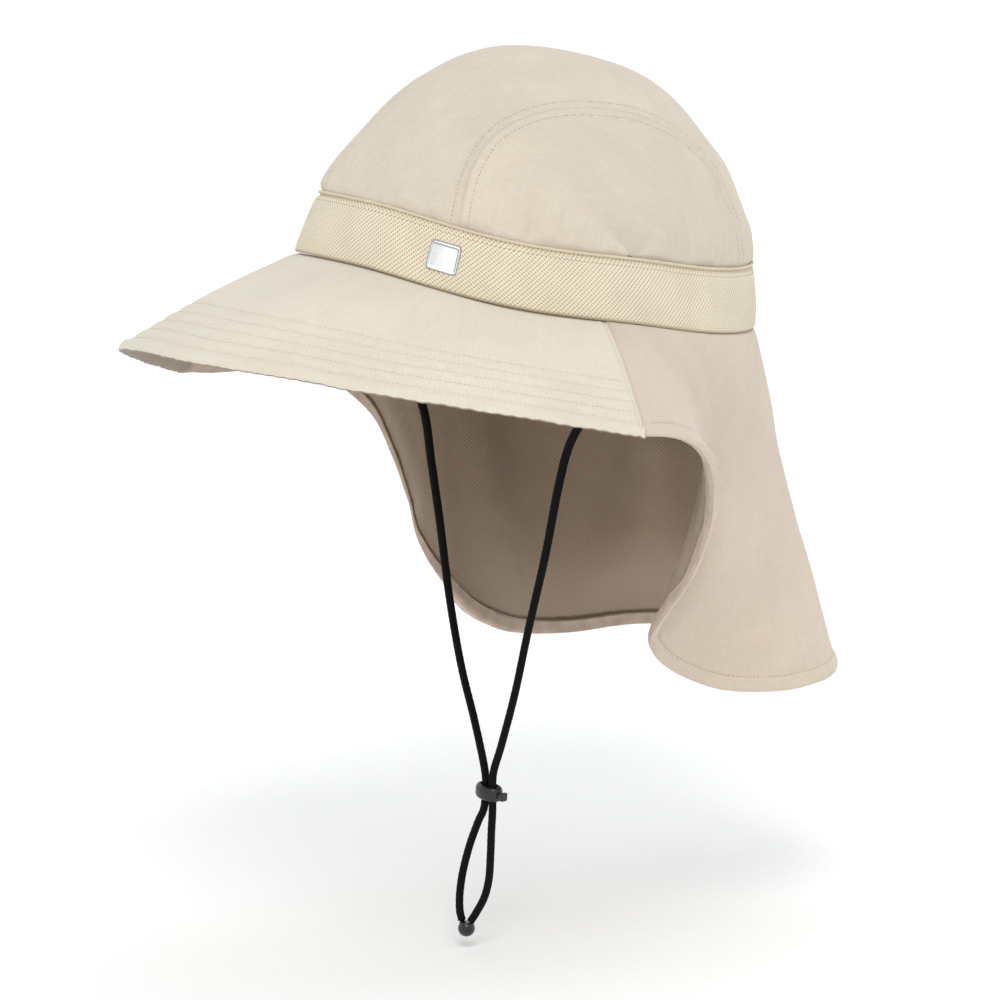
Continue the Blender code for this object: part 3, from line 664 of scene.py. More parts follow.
def makeBead(s):
    # moulded ball with a short collar for the cord ends and a fine parting line round it
    level = np.linspace(-np.pi / 2, np.pi / 2, s["rows"])
    turn = np.arange(s["sides"]) * 2 * np.pi / s["sides"]
    radius = s["diameter"] / 2 * (1 + 0.02 * dip(level, 0.05))
    flat = radius * np.cos(level)
    height = radius * np.sin(level)
    top = s["diameter"] / 2 * s["collarTop"]
    ring = height > top
    flat = np.where(ring, np.maximum(flat, s["collar"] * 1.55 * np.cos(level) ** 0.2), flat)
    height = np.where(ring, top + (height - top) * 0.5, height)
    flat, height = flat[:, None], height[:, None]
    points = np.stack([flat * np.cos(turn), flat * np.sin(turn), height + 0 * turn], axis=-1)
    flatPoints = np.concatenate([points[1:-1].reshape(-1, 3), points[:1, 0], points[-1:, 0]])
    flatPoints[-2:, :2] = 0.0
    faces = tubeFaces(s["rows"] - 2, s["sides"])
    return mixedPiece("cordEndBead", flatPoints + np.array(s["centre"]), faces, beadPlastic)


cordLock = makeLock(lockSettings)
cordButton = makeButton(lockSettings)
cordBead = makeBead(beadSettings)
print("cords, lock and bead made")

# the hat's own shape, as the solids have it

hatSettings = {
    "width": 0.165,
    "length": 0.212,
    "tilt": np.radians(15.0),
    "frontLift": 0.003,
    "backLift": 0.007,
    "leftDip": 0.0034,
    "gap": 0.0003,
}


def worn(points):
    points = np.asarray(points, float)
    out = points.copy()
    lean = hatSettings["tilt"]
    out[..., 1] = points[..., 1] * np.cos(lean) + points[..., 2] * np.sin(lean)
    out[..., 2] = points[..., 2] * np.cos(lean) - points[..., 1] * np.sin(lean)
    return out


def edgeLift(angle):
    # the band's lower edge waves up at front and back and dips at the wearer's left front
    s = hatSettings
    turn = np.radians(angle)
    ahead = np.cos(turn)
    lift = s["frontLift"] * np.maximum(ahead, 0.0) ** 2 + s["backLift"] * np.maximum(-ahead, 0.0) ** 2
    leftFront = (np.cos(turn) > 0) & (np.sin(turn) > 0)
    return lift - np.where(leftFront, s["leftDip"] * np.sin(2 * turn) ** 2, 0.0)


def ringPoint(angle, out, height):
    turn = np.radians(angle)
    x = (hatSettings["width"] / 2 + out) * np.sin(turn)
    y = -(hatSettings["length"] / 2 + out) * np.cos(turn)
    z = height + edgeLift(angle)
    return worn(np.stack(np.broadcast_arrays(x, y, z), axis=-1))


def ringAngles(count):
    # even angles once round the head; the ring closes at the back
    return np.arange(count)[:, None] * 360.0 / count + 180.0


# stitches by Geometry Nodes: short threads set along lines on the cloth

stitchSettings = {
    "pitch": 0.0019,
    "length": 0.0013,
    "thread": 0.00038,
    "sink": 0.00006,
    "sides": 6,
    "rings": 5,
}


def stitchTree(s):
    tree = bpy.data.node_groups.new("stitchRow", "GeometryNodeTree")
    face = tree.interface
    face.new_socket("Geometry", in_out="INPUT", socket_type="NodeSocketGeometry")
    for label in ("pitch", "length", "thread"):
        face.new_socket(label, in_out="INPUT", socket_type="NodeSocketFloat")
    face.new_socket("finish", in_out="INPUT", socket_type="NodeSocketMaterial")
    face.new_socket("Geometry", in_out="OUTPUT", socket_type="NodeSocketGeometry")

    def node(kind, settings=None, values=None):
        made = tree.nodes.new(kind)
        for label, value in (settings or {}).items():
            setattr(made, label, value)
        for key, value in (values or {}).items():
            if isinstance(value, bpy.types.NodeSocket):
                tree.links.new(value, made.inputs[key])
            else:
                made.inputs[key].default_value = value
        return made

    start = node("NodeGroupInput").outputs
    normal = node("GeometryNodeInputNamedAttribute", {"data_type": "FLOAT_VECTOR"}, {"Name": "clothNormal"})
    line = node("GeometryNodeMeshToCurve", values={"Mesh": start["Geometry"]})
    spaced = {"Curve": line.outputs[0], "Length": start["pitch"]}
    even = node("GeometryNodeResampleCurve", {"mode": "LENGTH"}, spaced)
    along = node("GeometryNodeInputTangent")
    turned = node("FunctionNodeAlignRotationToVector", {"axis": "X"}, {"Vector": along.outputs[0]})
    facing = node(
        "FunctionNodeAlignRotationToVector",
        {"axis": "Z", "pivot_axis": "X"},
        {"Rotation": turned.outputs[0], "Vector": normal.outputs["Attribute"]},
    )
    sphere = {"Segments": s["sides"], "Rings": s["rings"], "Radius": 0.5}
    ball = node("GeometryNodeMeshUVSphere", values=sphere)
    spread = {"X": start["length"], "Y": start["thread"], "Z": start["thread"]}
    size = node("ShaderNodeCombineXYZ", values=spread)
    scaled = {"Geometry": ball.outputs["Mesh"], "Scale": size.outputs[0]}
    thread = node("GeometryNodeTransform", values=scaled)
    smooth = node("GeometryNodeSetShadeSmooth", values={0: thread.outputs[0]})
    placed = node(
        "GeometryNodeInstanceOnPoints",
        values={"Points": even.outputs[0], "Instance": smooth.outputs[0], "Rotation": facing.outputs[0]},
    )
    real = node("GeometryNodeRealizeInstances", values={"Geometry": placed.outputs[0]})
    finished = {"Geometry": real.outputs[0], "Material": start["finish"]}
    dressed = node("GeometryNodeSetMaterial", values=finished)
    end = node("NodeGroupOutput")
    tree.links.new(dressed.outputs[0], end.inputs[0])
    return tree


stitchNodes = stitchTree(stitchSettings)


def stitchRows(name, rows, s=stitchSettings, **changes):
    # rows: a list of (points, normals) lines on the cloth; the result is one plain mesh
    values = {**s, **changes}
    points, normals, edges = [], [], []
    for line, normal in rows:
        first = len(points)
        points.extend((line - normal * values["sink"]).tolist())
        normals.extend(normal.tolist())
        edges.extend((first + k, first + k + 1) for k in range(len(line) - 1))
    mesh = bpy.data.meshes.new(name + "Line")
    mesh.from_pydata(points, edges, [])
    layer = mesh.attributes.new("clothNormal", "FLOAT_VECTOR", "POINT")
    layer.data.foreach_set("vector", np.array(normals, float).ravel())
    line = link(bpy.data.objects.new(name + "Line", mesh))
    modifier = line.modifiers.new("stitches", "NODES")
    modifier.node_group = stitchNodes
    inputs = [item for item in stitchNodes.interface.items_tree if item.in_out == "INPUT"]
    sockets = {item.name: item.identifier for item in inputs}
    for label in ("pitch", "length", "thread"):
        modifier[sockets[label]] = values[label]
    modifier[sockets["finish"]] = values.get("finish", paleThread)
    depsgraph = bpy.context.evaluated_depsgraph_get()
    plain = bpy.data.meshes.new_from_object(line.evaluated_get(depsgraph), depsgraph=depsgraph)
    plain.name = name
    bpy.data.objects.remove(line, do_unlink=True)
    return link(bpy.data.objects.new(name, plain))


def gridLine(grid, normals, rows, steps):
    # a line across a grid at fractional rows and steps
    rows, steps = np.broadcast_arrays(np.asarray(rows, float), np.asarray(steps, float))
    r = np.clip(np.floor(rows).astype(int), 0, grid.shape[0] - 2)
    c = np.clip(np.floor(steps).astype(int), 0, grid.shape[1] - 2)
    fr, fc = (rows - r)[:, None], (steps - c)[:, None]

    def read(field):
        near = field[r, c] * (1 - fc) + field[r, c + 1] * fc
        far = field[r + 1, c] * (1 - fc) + field[r + 1, c + 1] * fc
        return near * (1 - fr) + far * fr

    normal = read(normals)
    return read(grid), normal / np.linalg.norm(normal, axis=1, keepdims=True)


def reachStep(field, want, places):
    # for each place, the fractional step at which a field that falls along its row comes down to want
    return np.array([np.interp(-want, -field[int(k)], np.arange(field.shape[1])) for k in places])


def endLines(grid, normals, columns, away):
    # a line across the grid at the same distance from each of its two ends
    lines = []
    for far in (False, True):
        line = walked(grid[::-1] if far else grid)
        at = reachStep(-line.T, -away, columns)
        lines.append(gridLine(grid, normals, len(line) - 1 - at if far else at, columns))
    return lines


def outwardNormals(grid, centre=(0.0, 0.0, -0.02)):
    normal = gridNormals(grid)
    away = grid - np.array(centre)
    return normal * np.where((normal * away).sum(-1).mean() < 0, -1.0, 1.0)


# crown: a centre panel from brow to nape and a panel on each side

crownSettings = {
    "height": 0.0755,
    "lean": 0.004,
    "wall": 0.0013,
    "frontRise": 0.06,
    "planPower": 2.5,
    "heightPower": 1.3,
    "rimTuck": 0.00614,
    "rowCrowding": np.pi / 2 * 0.72,
    "steps": 170,
    "centreRows": 84,
    "sideRows": 60,
    "lastSideRow": 0.985,
    "seamGap": 0.00002,
    "groove": 0.00030,  # depth of the seam, and how far it reaches
    "grooveWidth": 0.0006,
    "welt": 0.00030,
    "weltWidth": 0.0042,
    "stitchAway": 0.0036,
    "stitchDip": 0.00045,
    "stitchWidth": 0.0008,
    "tug": 0.00020,  # the small waves that each seam's thread pulls up
    "tugPitch": 0.0043,
    "crease": 0.0021,
    "pucker": 0.0015,
    "puff": 0.0011,  # the cloth stands out a little over the band
}
# the crown's left seam from the brow over the top to the nape, as shares of the crown's plan
seamStations = [
    # across, along
    (0.511, -0.860), (0.470, -0.835), (0.433, -0.785), (0.420, -0.710), (0.446, -0.612),
    (0.498, -0.481), (0.580, -0.268), (0.642, -0.014), (0.675, 0.210), (0.703, 0.378),
    (0.755, 0.488), (0.808, 0.552), (0.830, 0.558),
]
bandSettings = {
    "height": 0.0255,
    "taper": 0.005,
    "wall": 0.002,
    "tuck": 0.0008,
    "round": 0.0028,
    "steps": 720,
    "rows": 34,
    "crease": 0.0009,
    "topStitch": 0.0225,
    "belly": 0.0011,
    "stitchDip": 0.0003,
}


def crownPoint(shareX, shareY, inward):
    s = crownSettings
    rimX = hatSettings["width"] / 2 - s["rimTuck"]
    rimY = hatSettings["length"] / 2 - s["rimTuck"]
    plan, tall = s["planPower"], s["heightPower"]
    radius = np.clip(np.hypot(shareX, shareY), 1e-6, 1.0)
    up = (1 - radius**plan) ** (1 / tall)
    front = 1 - s["frontRise"] * shareY
    gradX = plan * radius ** (plan - 2) * shareX / rimX
    gradY = plan * radius ** (plan - 2) * shareY / rimY
    gradY = gradY + tall * up**tall * s["frontRise"] / (front * rimY)
    gradZ = tall * np.maximum(up, 1e-9) ** (tall - 1) / (s["height"] * front)
    size = np.sqrt(gradX**2 + gradY**2 + gradZ**2)
    x = shareX * rimX - inward * gradX / size
    y = shareY * rimY - inward * gradY / size + s["lean"] * up
    rise = up * s["height"] * front - inward * gradZ / size
    lift = edgeLift(np.degrees(np.arctan2(shareX, -shareY))) * (1 - up)
    z = bandSettings["height"] + hatSettings["gap"] + np.maximum(rise, 0.0) + lift
    return worn(np.stack([x, y, z], axis=-1))


def seamLine(shift):
    s = crownSettings
    keys = np.arange(len(seamStations), dtype=float)
    fine = readTable(np.column_stack([keys, seamStations]), np.linspace(0, keys[-1], 2000))
    far = walked(crownPoint(fine[:, 0], fine[:, 1], 0.0))
    even = np.linspace(0.0, far[-1], s["steps"] + 1)
    line = np.column_stack([np.interp(even, far, fine[:, k]) for k in range(2)])
    line[:, 0] += shift
    for end in (0, -1):
        line[end] /= np.hypot(*line[end])
    return line


def crownPlan(part):
    # plan shares of a panel's grid; the rows run along the seam
    s = crownSettings
    halfGap = s["seamGap"] / 2 / (hatSettings["width"] / 2 - s["rimTuck"])
    steps = np.linspace(0.0, 1.0, s["steps"] + 1)
    if part == "centre":
        seam = seamLine(-halfGap)
        across = crowded(s["rowCrowding"], s["centreRows"])
        x = across[:, None] * seam[:, 0]
        front = -np.sqrt(1 - x[:, :1] ** 2) - seam[0, 1]
        back = np.sqrt(1 - x[:, -1:] ** 2) - seam[-1, 1]
        return x, seam[:, 1] + (1 - steps) * front + steps * back
    seam = seamLine(halfGap)
    first, last = (np.arctan2(seam[k, 0], -seam[k, 1]) for k in (0, -1))
    down = s["lastSideRow"] * np.linspace(0.0, 1.0, s["sideRows"] + 1)[:, None] ** 1.25
    middle = (first + last) / 2
    start = first + down * (middle - first)
    end = last + down * (middle - last)
    x = np.sin(start) * (1 - steps) + np.sin(end) * steps
    y = -np.cos(start) * (1 - steps) - np.cos(end) * steps
    x = x + (seam[:, 0] - x[0]) * (1 - down)
    y = y + (seam[:, 1] - y[0]) * (1 - down)
    return (x, y) if part == "left" else (-x, y)


def crownRelief(base, x, y, fromSeam):
    # seam groove, flattened welt, dips under the stitch rows, soft creases and gathers above the band
    s = crownSettings
    rise = 1 - np.hypot(x, y)
    relief = -s["groove"] * dip(fromSeam, s["grooveWidth"])
    weltEnd = 1 - ease((fromSeam - s["weltWidth"]) / 0.003)
    relief += s["welt"] * ease(fromSeam / 0.0012) * weltEnd
    relief -= s["stitchDip"] * dip(fromSeam - s["stitchAway"], s["stitchWidth"])
    calm = ease((fromSeam - 0.001) / 0.012)
    crease = softNoise(base * [1, 1, 1.6], 0.036) * 0.6 + softNoise(base + 3.0, 0.017) * 0.28
    relief += s["crease"] * crease * calm * ease(rise / 0.05)
    around = np.stack([np.arctan2(x, -y) * noiseRadius, rise * 0.05, 0 * rise], axis=-1)
    gather = softNoise(around + [0, 0, 0.3], 0.0065) + 0.6 * softNoise(around + [0, 0, 0.7], 0.0032)
    fade = ease(rise / 0.008) * (1 - ease((rise - 0.02) / 0.09))
    relief += s["pucker"] * gather * fade
    tug = np.sin(walked(base[0]) * 2 * np.pi / s["tugPitch"]) + softNoise(base, 0.004)
    relief += s["tug"] * tug * dip(fromSeam - s["stitchAway"] * 0.7, 0.0026) * ease(rise / 0.03)
    relief += s["puff"] * (1 - ease((rise - 0.012) / 0.11))
    return relief * ease(rise / 0.004)


def makeCrown():
    s = crownSettings
    made, rows = [], []
    steps = np.arange(1.5, s["steps"] - 1.0)
    panels = {"centre": "crownCenterPanel", "left": "crownSideLeft", "right": "crownSideRight"}
    for part, name in panels.items():
        x, y = crownPlan(part)
        base = crownPoint(x, y, 0.0)
        fromSeam = walked(base)
        if part == "centre":
            fromSeam = np.minimum(fromSeam, fromSeam[-1:] - fromSeam)
        relief = crownRelief(base, x, y, fromSeam)
        outer = crownPoint(x, y, -relief)
        inner = crownPoint(x, y, s["wall"] - np.minimum(relief, 0.0))
        made.append(clothPiece(name, outer, inner, [crownCloth, shadedInsideKnit], clothUv(base)))
        normals = outwardNormals(outer)
        # the centre panel has a row beside each of its two seams
        half = fromSeam[: s["centreRows"] // 2 + 1] if part == "centre" else fromSeam
        at = reachStep(-half.T, -s["stitchAway"], steps)
        rows.append(gridLine(outer, normals, at, steps))
        if part == "centre":
            rows.append(gridLine(outer, normals, s["centreRows"] - at, steps))
    made.append(stitchRows("crownStitches", rows, thread=0.00034))
    return made


crownPieces = makeCrown()
print("crown made")

# knit band and the piping along its top edge


def makeBand(s):
    angles = ringAngles(s["steps"])
    share = (1 - (1 - np.linspace(0.0, 1.0, s["rows"])) ** 1.25)[None, :]
    height = share * s["height"]
    base = ringPoint(angles, -s["taper"] * share, height)
    fromTop = s["height"] - height
    signed = (angles + 180.0) % 360.0 - 180.0
    lean = np.stack(np.broadcast_arrays(signed * 0.0016 + height * 0.8, height, 0.0), axis=-1)
    # slanting creases, strongest over the ears where the knit is slackest
    slack = 0.35 + 0.65 * np.exp(-(((np.abs(signed) - 98.0) / 34.0) ** 2))
    crease = softNoise(lean * [1, 0.45, 1], 0.011) * 0.6 + softNoise(lean * [1, 0.6, 1] + 2.0, 0.0055) * 0.3
    belly = np.sin(np.pi * share ** 0.62) ** 0.55
    relief = s["crease"] * crease * slack * np.sin(np.pi * share) + s["belly"] * belly
    relief -= s["stitchDip"] * dip(height - s["topStitch"], 0.0007)
    topTuck = s["tuck"] * ease(1 - fromTop / s["round"])
    relief -= topTuck + 0.0006 * dip(fromTop - 0.0012, 0.0006)
    outer = ringPoint(angles, -s["taper"] * share + relief, height)
    inner = ringPoint(angles, -s["taper"] * share - s["wall"] - topTuck, height)
    period = (walked(np.concatenate([base, base[:1]])[:, s["rows"] // 2])[-1], 0.0)
    finishes = [bandKnit, shadedInsideKnit]
    band = clothPiece("hatBand", outer, inner, finishes, clothUv(base), closed=True, period=period)
    around = np.concatenate([outer, outer[:1]])
    normals = outwardNormals(around)
    steps = np.arange(0.0, s["steps"] + 0.5, 2.0)
    level = np.interp(s["topStitch"], height[0], np.arange(s["rows"]))
    rows = [gridLine(around, normals, steps, np.full(len(steps), level))]
    return [band, stitchRows("bandStitches", rows, thread=0.00036)]


pipingSettings = {
    "diameter": 0.0013,
    "outShare": -0.25,
    "upShare": 0.1,
    "steps": 900,
    "sides": 14,
    "roll": 0.00008,
    "rollPitches": (0.0024, 0.0061),
    "walkShare": 1.15,  # the way round the oval band against a circle of its width
}


def makePiping(s):
    # rolled cloth round a fine cord, with the slant pull of its bias cut
    turn = np.arange(s["sides"]) * 2 * np.pi / s["sides"]
    angles = ringAngles(s["steps"])
    arc = np.radians(angles) * hatSettings["width"] / 2
    short, long = (arc * 2 * np.pi / pitch for pitch in s["rollPitches"])
    radius = s["diameter"] / 2 + s["roll"] * (np.sin(short + turn) + np.sin(long + 1.0)) * 0.6
    out = -bandSettings["taper"] + s["outShare"] * s["diameter"] + radius * np.cos(turn)
    height = bandSettings["height"] + s["upShare"] * s["diameter"] + radius * np.sin(turn)
    ring = ringPoint(angles, out, height)
    uv = np.stack(np.broadcast_arrays(turn * s["diameter"] / 2, arc * s["walkShare"]), axis=-1).reshape(-1, 2)
    faces = gridFaces(s["steps"], s["sides"], loopRows=True, loopSteps=True)
    period = (np.pi * s["diameter"], s["walkShare"] * np.pi * hatSettings["width"])
    return meshPiece("bandPiping", ring.reshape(-1, 3), faces, [pipingCloth], uv, period=period)


bandPieces = makeBand(bandSettings)
piping = makePiping(pipingSettings)
print("band and piping made")

# brim: cloth over a stiffener, with stitch rows along its edge

brimSettings = {
    "width": 0.0815,
    "thickness": 0.003,
    "endAngle": 72.0,
    "edgeRound": 0.0018,
    "bulge": 0.0022,
    "steps": 320,
    "rows": 116,
    "firstRow": 0.0070,
    "rowPitch": 0.0067,
    "rowCount": 5,
    "stitchDip": 0.00042,
    "puff": 0.00016,
    "crease": 0.0005,
    "stitchWidth": 0.0008,
    "endStitch": 0.0014,
    "endDip": 0.0005,
    "endWidth": 0.0007,
    "crowding": 1.2,
    "roll": 0.0007,  # the fuller edge, its place and its width
    "rollAway": 0.0026,
    "rollWidth": 0.0022,
    "rollGroove": 0.0004,
    "tugPitch": 0.0056,
}
brimStations = [
    # angle, heading, droop left, droop right
    (0.0, 0.0, 20.0, 20.0),
    (20.0, 24.0, 18.5, 23.0),
    (39.0, 44.0, 18.2, 29.0),
    (56.0, 53.0, 18.9, 34.0),
    (72.0, 56.5, 20.7, 37.0),
]


def seamStart(angle):
    return ringPoint(angle, 0.0, -hatSettings["gap"])


def brimEdge(angle):
    s = brimSettings
    heading, left, right = readTable(brimStations, np.abs(angle)).T
    droop = np.radians(np.where(angle >= 0, left, right))
    heading = np.radians(heading) * np.sign(angle)
    reach = s["width"] * np.cos(droop)
    step = [np.sin(heading) * reach, -np.cos(heading) * reach, -s["width"] * np.sin(droop)]
    return seamStart(angle) + np.stack(step, axis=-1)


def makeBrim(s):
    end = s["endAngle"] - 0.02
    angles = crowded(s["crowding"], s["steps"]) * end
    start, edge = seamStart(angles), brimEdge(angles)
    rounding = s["edgeRound"] / s["width"]
    curl = 1 - rounding * (1 - np.sin(np.linspace(0, np.pi / 2, 9)))
    share = np.concatenate([np.linspace(0, 1 - rounding, s["rows"], endpoint=False), curl])
    ledge = ringPoint(angles, -bandSettings["wall"], -hatSettings["gap"])
    top = start[:, None, :] + (edge - start)[:, None, :] * share[None, :, None]
    top[..., 2] += (s["bulge"] * np.sin(np.pi * share))[None, :]
    reach = np.linalg.norm(edge - start, axis=-1)[:, None]
    fromEdge = (1 - share)[None, :] * reach
    near = walked(top)
    fromEnd = np.minimum(near, near[-1:] - near)
    relief = s["crease"] * (softNoise(top * [1, 1, 2], 0.045) * 0.7 + softNoise(top + 5.0, 0.018) * 0.2)
    rowsAway = s["firstRow"] + s["rowPitch"] * np.arange(s["rowCount"])
    inRows = 1 - ease((fromEdge - rowsAway[-1]) / 0.004)
    wave = np.sin(np.pi * np.clip((fromEdge - s["firstRow"]) / s["rowPitch"], -1.0, None))
    relief += s["puff"] * np.abs(wave) * inRows
    fade = ease(fromEnd / 0.004)
    for away in rowsAway:
        relief -= s["stitchDip"] * dip(fromEdge - away, s["stitchWidth"]) * fade
    relief -= s["endDip"] * dip(fromEnd - s["endStitch"], s["endWidth"])
    relief += 0.0003 * dip(fromEnd - 0.0030, 0.0012) - 0.00015 * dip(fromEnd, 0.0005)
    relief += s["roll"] * dip(fromEdge - s["rollAway"], s["rollWidth"])
    relief -= s["rollGroove"] * dip(fromEdge - 2 * s["rollAway"], s["stitchWidth"])
    relief -= 0.0005 * dip(share[None, :] * reach, 0.0012)
    alongEdge = walked(edge)[:, None]
    tug = np.sin(alongEdge * 2 * np.pi / s["tugPitch"]) * 0.5 + softNoise(top, 0.006)
    relief += 0.00009 * tug * inRows + 0.00022 * tug * (1 - ease(fromEdge / 0.007))
    inCurl = (share - 1 + rounding) / rounding
    drop = s["thickness"] * (0.5 - 0.5 * np.sqrt(1 - np.clip(inCurl, 0, 0.999) ** 2))
    upper = top.copy()
    upper[..., 2] += relief - drop[None, :]
    lower = top.copy()
    under = softNoise(top * [1, 1, 2] + 9.0, 0.03) * 0.3 * s["crease"]
    for away in rowsAway:
        under = under + 0.0003 * dip(fromEdge - away, 0.0009) * fade
    lower[..., 2] += under * (1 - ease(inCurl))[None, :] - s["thickness"] + drop[None, :]
    lower[..., 2] += relief * (1 - ease(fromEdge / 0.003))
    outer = np.concatenate([ledge[:, None, :], upper], axis=1)
    ledgeLow = ledge - [0.0, 0.0, s["thickness"]]
    inner = np.concatenate([ledgeLow[:, None, :], lower], axis=1)
    # the underside gets the dark cloth: painted shade
    brim = clothPiece("hatBrim", outer, inner, [brimCloth, shadedUnderCloth], clothUv(outer))
    normals = outwardNormals(upper, (0.0, 0.0, -0.5))
    inside = np.linspace(4.0, len(angles) - 5.0, 420)
    rows = [gridLine(upper, normals, inside, reachStep(fromEdge, away, inside)) for away in rowsAway]
    rows += endLines(upper, normals, np.arange(3.0, len(share) - 9.0), s["endStitch"])
    return [brim, stitchRows("brimStitches", rows, finish=creamThread)]


brimPieces = makeBrim(brimSettings)
print("brim made")

# neck cape: one sheet from temple to temple, hung from the band, with a turned hem

capeSettings = {
    "halfWidth": 0.082,
    "drop": 0.164,
    "depth": 0.142,
    "wall": 0.0013,
    "hemWall": 0.0027,
    "hemWidth": 0.0068,
    "joinSpread": 14.0,
    "bellyPower": 0.65,
    "foldCentre": 0.35,
    "foldStart": 0.3,
    "foldEnd": 0.25,
    "steps": 330,
    "rows": 110,
    "ripple": 0.0016,
    "slant": 0.0017,
    "crease": 0.0006,
    "stitchDip": 0.0006,
    "stitchWidth": 0.0007,
    "hemStitch": 0.0062,
    "seamStitch": 0.0014,
    "seamDip": 0.0005,
    "gather": 0.0005,
    "tug": 0.00028,
    "tugPitch": 0.0078,
    "frontRoll": 0.0016,  # how far the front edges roll outwards
    "frontWrinkle": 0.0009,
}
capeStations = [
    # angle, side, back, drop left, drop right, belly
    (72.0, 1.721, -0.520, 0.156, 0.156, 0.00),
    (78.0, 1.560, -0.255, 0.212, 0.212, 0.01),
    (84.0, 1.380, -0.062, 0.290, 0.290, 0.02),
    (90.0, 1.215, 0.066, 0.400, 0.400, 0.03),
    (96.0, 1.110, 0.112, 0.520, 0.520, 0.04),
    (102.0, 0.990, 0.118, 0.640, 0.640, 0.05),
    (108.0, 0.860, 0.095, 0.745, 0.745, 0.06),
    (114.0, 0.715, 0.105, 0.835, 0.830, 0.07),
    (121.0, 0.690, 0.180, 0.915, 0.900, 0.06),
    (128.0, 0.770, 0.330, 0.985, 0.967, 0.045),
    (136.0, 0.890, 0.500, 1.010, 1.015, 0.03),
    (146.0, 0.890, 0.700, 1.015, 1.043, 0.01),
    (158.0, 0.700, 0.880, 1.015, 1.030, -0.01),
    (169.0, 0.360, 0.980, 1.015, 1.020, -0.01),
    (180.0, 0.000, 1.010, 1.015, 1.015, -0.01),
]
capeFolds = [
    # angle, lean, half width, depth, start, end
    (-172.0, 14.0, 15.0, 0.095, 0.15, 0.92),
    (116.0, 10.0, 9.0, -0.030, 0.25, 0.95),
    (-118.0, -8.0, 9.0, 0.030, 0.25, 0.90),
    (143.0, 0.0, 12.0, 0.022, 0.20, 0.90),
]


def foldDepth(angle, down):
    s = capeSettings
    depth = np.zeros(np.broadcast(angle, down).shape)
    for at, lean, half, deep, begin, end in capeFolds:
        off = (angle - (at + lean * down) + 180.0) % 360.0 - 180.0
        ramp = ease((down - begin) / s["foldStart"]) * ease((end - down) / s["foldEnd"])
        depth = depth + deep * s["depth"] * ease(1 - np.abs(off) / half) * ramp
    return depth


def capeSurface(around, down):
    s = capeSettings
    signed = np.where(around <= 180.0, around, around - 360.0)
    side = np.sign(signed)
    half, depth, left, right, belly = readTable(capeStations, np.abs(signed)).T
    drop = np.where(signed >= 0, left, right)
    start = seamStart(signed)
    ground = np.stack([side * half * s["halfWidth"], depth * s["depth"], -drop * s["drop"]], axis=-1)
    joined = ease((np.abs(signed) - brimSettings["endAngle"]) / s["joinSpread"])[:, None]
    across, back, fall = capeStations[0][1:4]
    corner = [side * across * s["halfWidth"], back * s["depth"] + 0 * side, -fall * s["drop"] + 0 * side]
    ground = ground + (brimEdge(side * brimSettings["endAngle"]) - np.stack(corner, axis=-1)) * (1 - joined)
    reach = ground - start
    length = np.linalg.norm(reach, axis=-1)
    outward = start * [1 / hatSettings["width"], 1 / hatSettings["length"], 0.0]
    outward /= np.linalg.norm(outward, axis=-1)[:, None]
    share = down[None, :, None]
    line = start[:, None, :] + reach[:, None, :] * share
    puff = (belly * length)[:, None, None] * np.sin(np.pi * share ** s["bellyPower"])
    fold = foldDepth(signed[:, None], down[None, :])[..., None]
    line[..., 2] += brimSettings["bulge"] * np.sin(np.pi * down)[None, :] * (1 - joined)
    inward = np.array([0.0, s["foldCentre"] * s["depth"], 0.0]) - line
    inward[..., 2] = 0.0
    inward /= np.maximum(np.linalg.norm(inward, axis=-1, keepdims=True), 1e-6)
    return line + puff * outward[:, None, :] + fold * inward


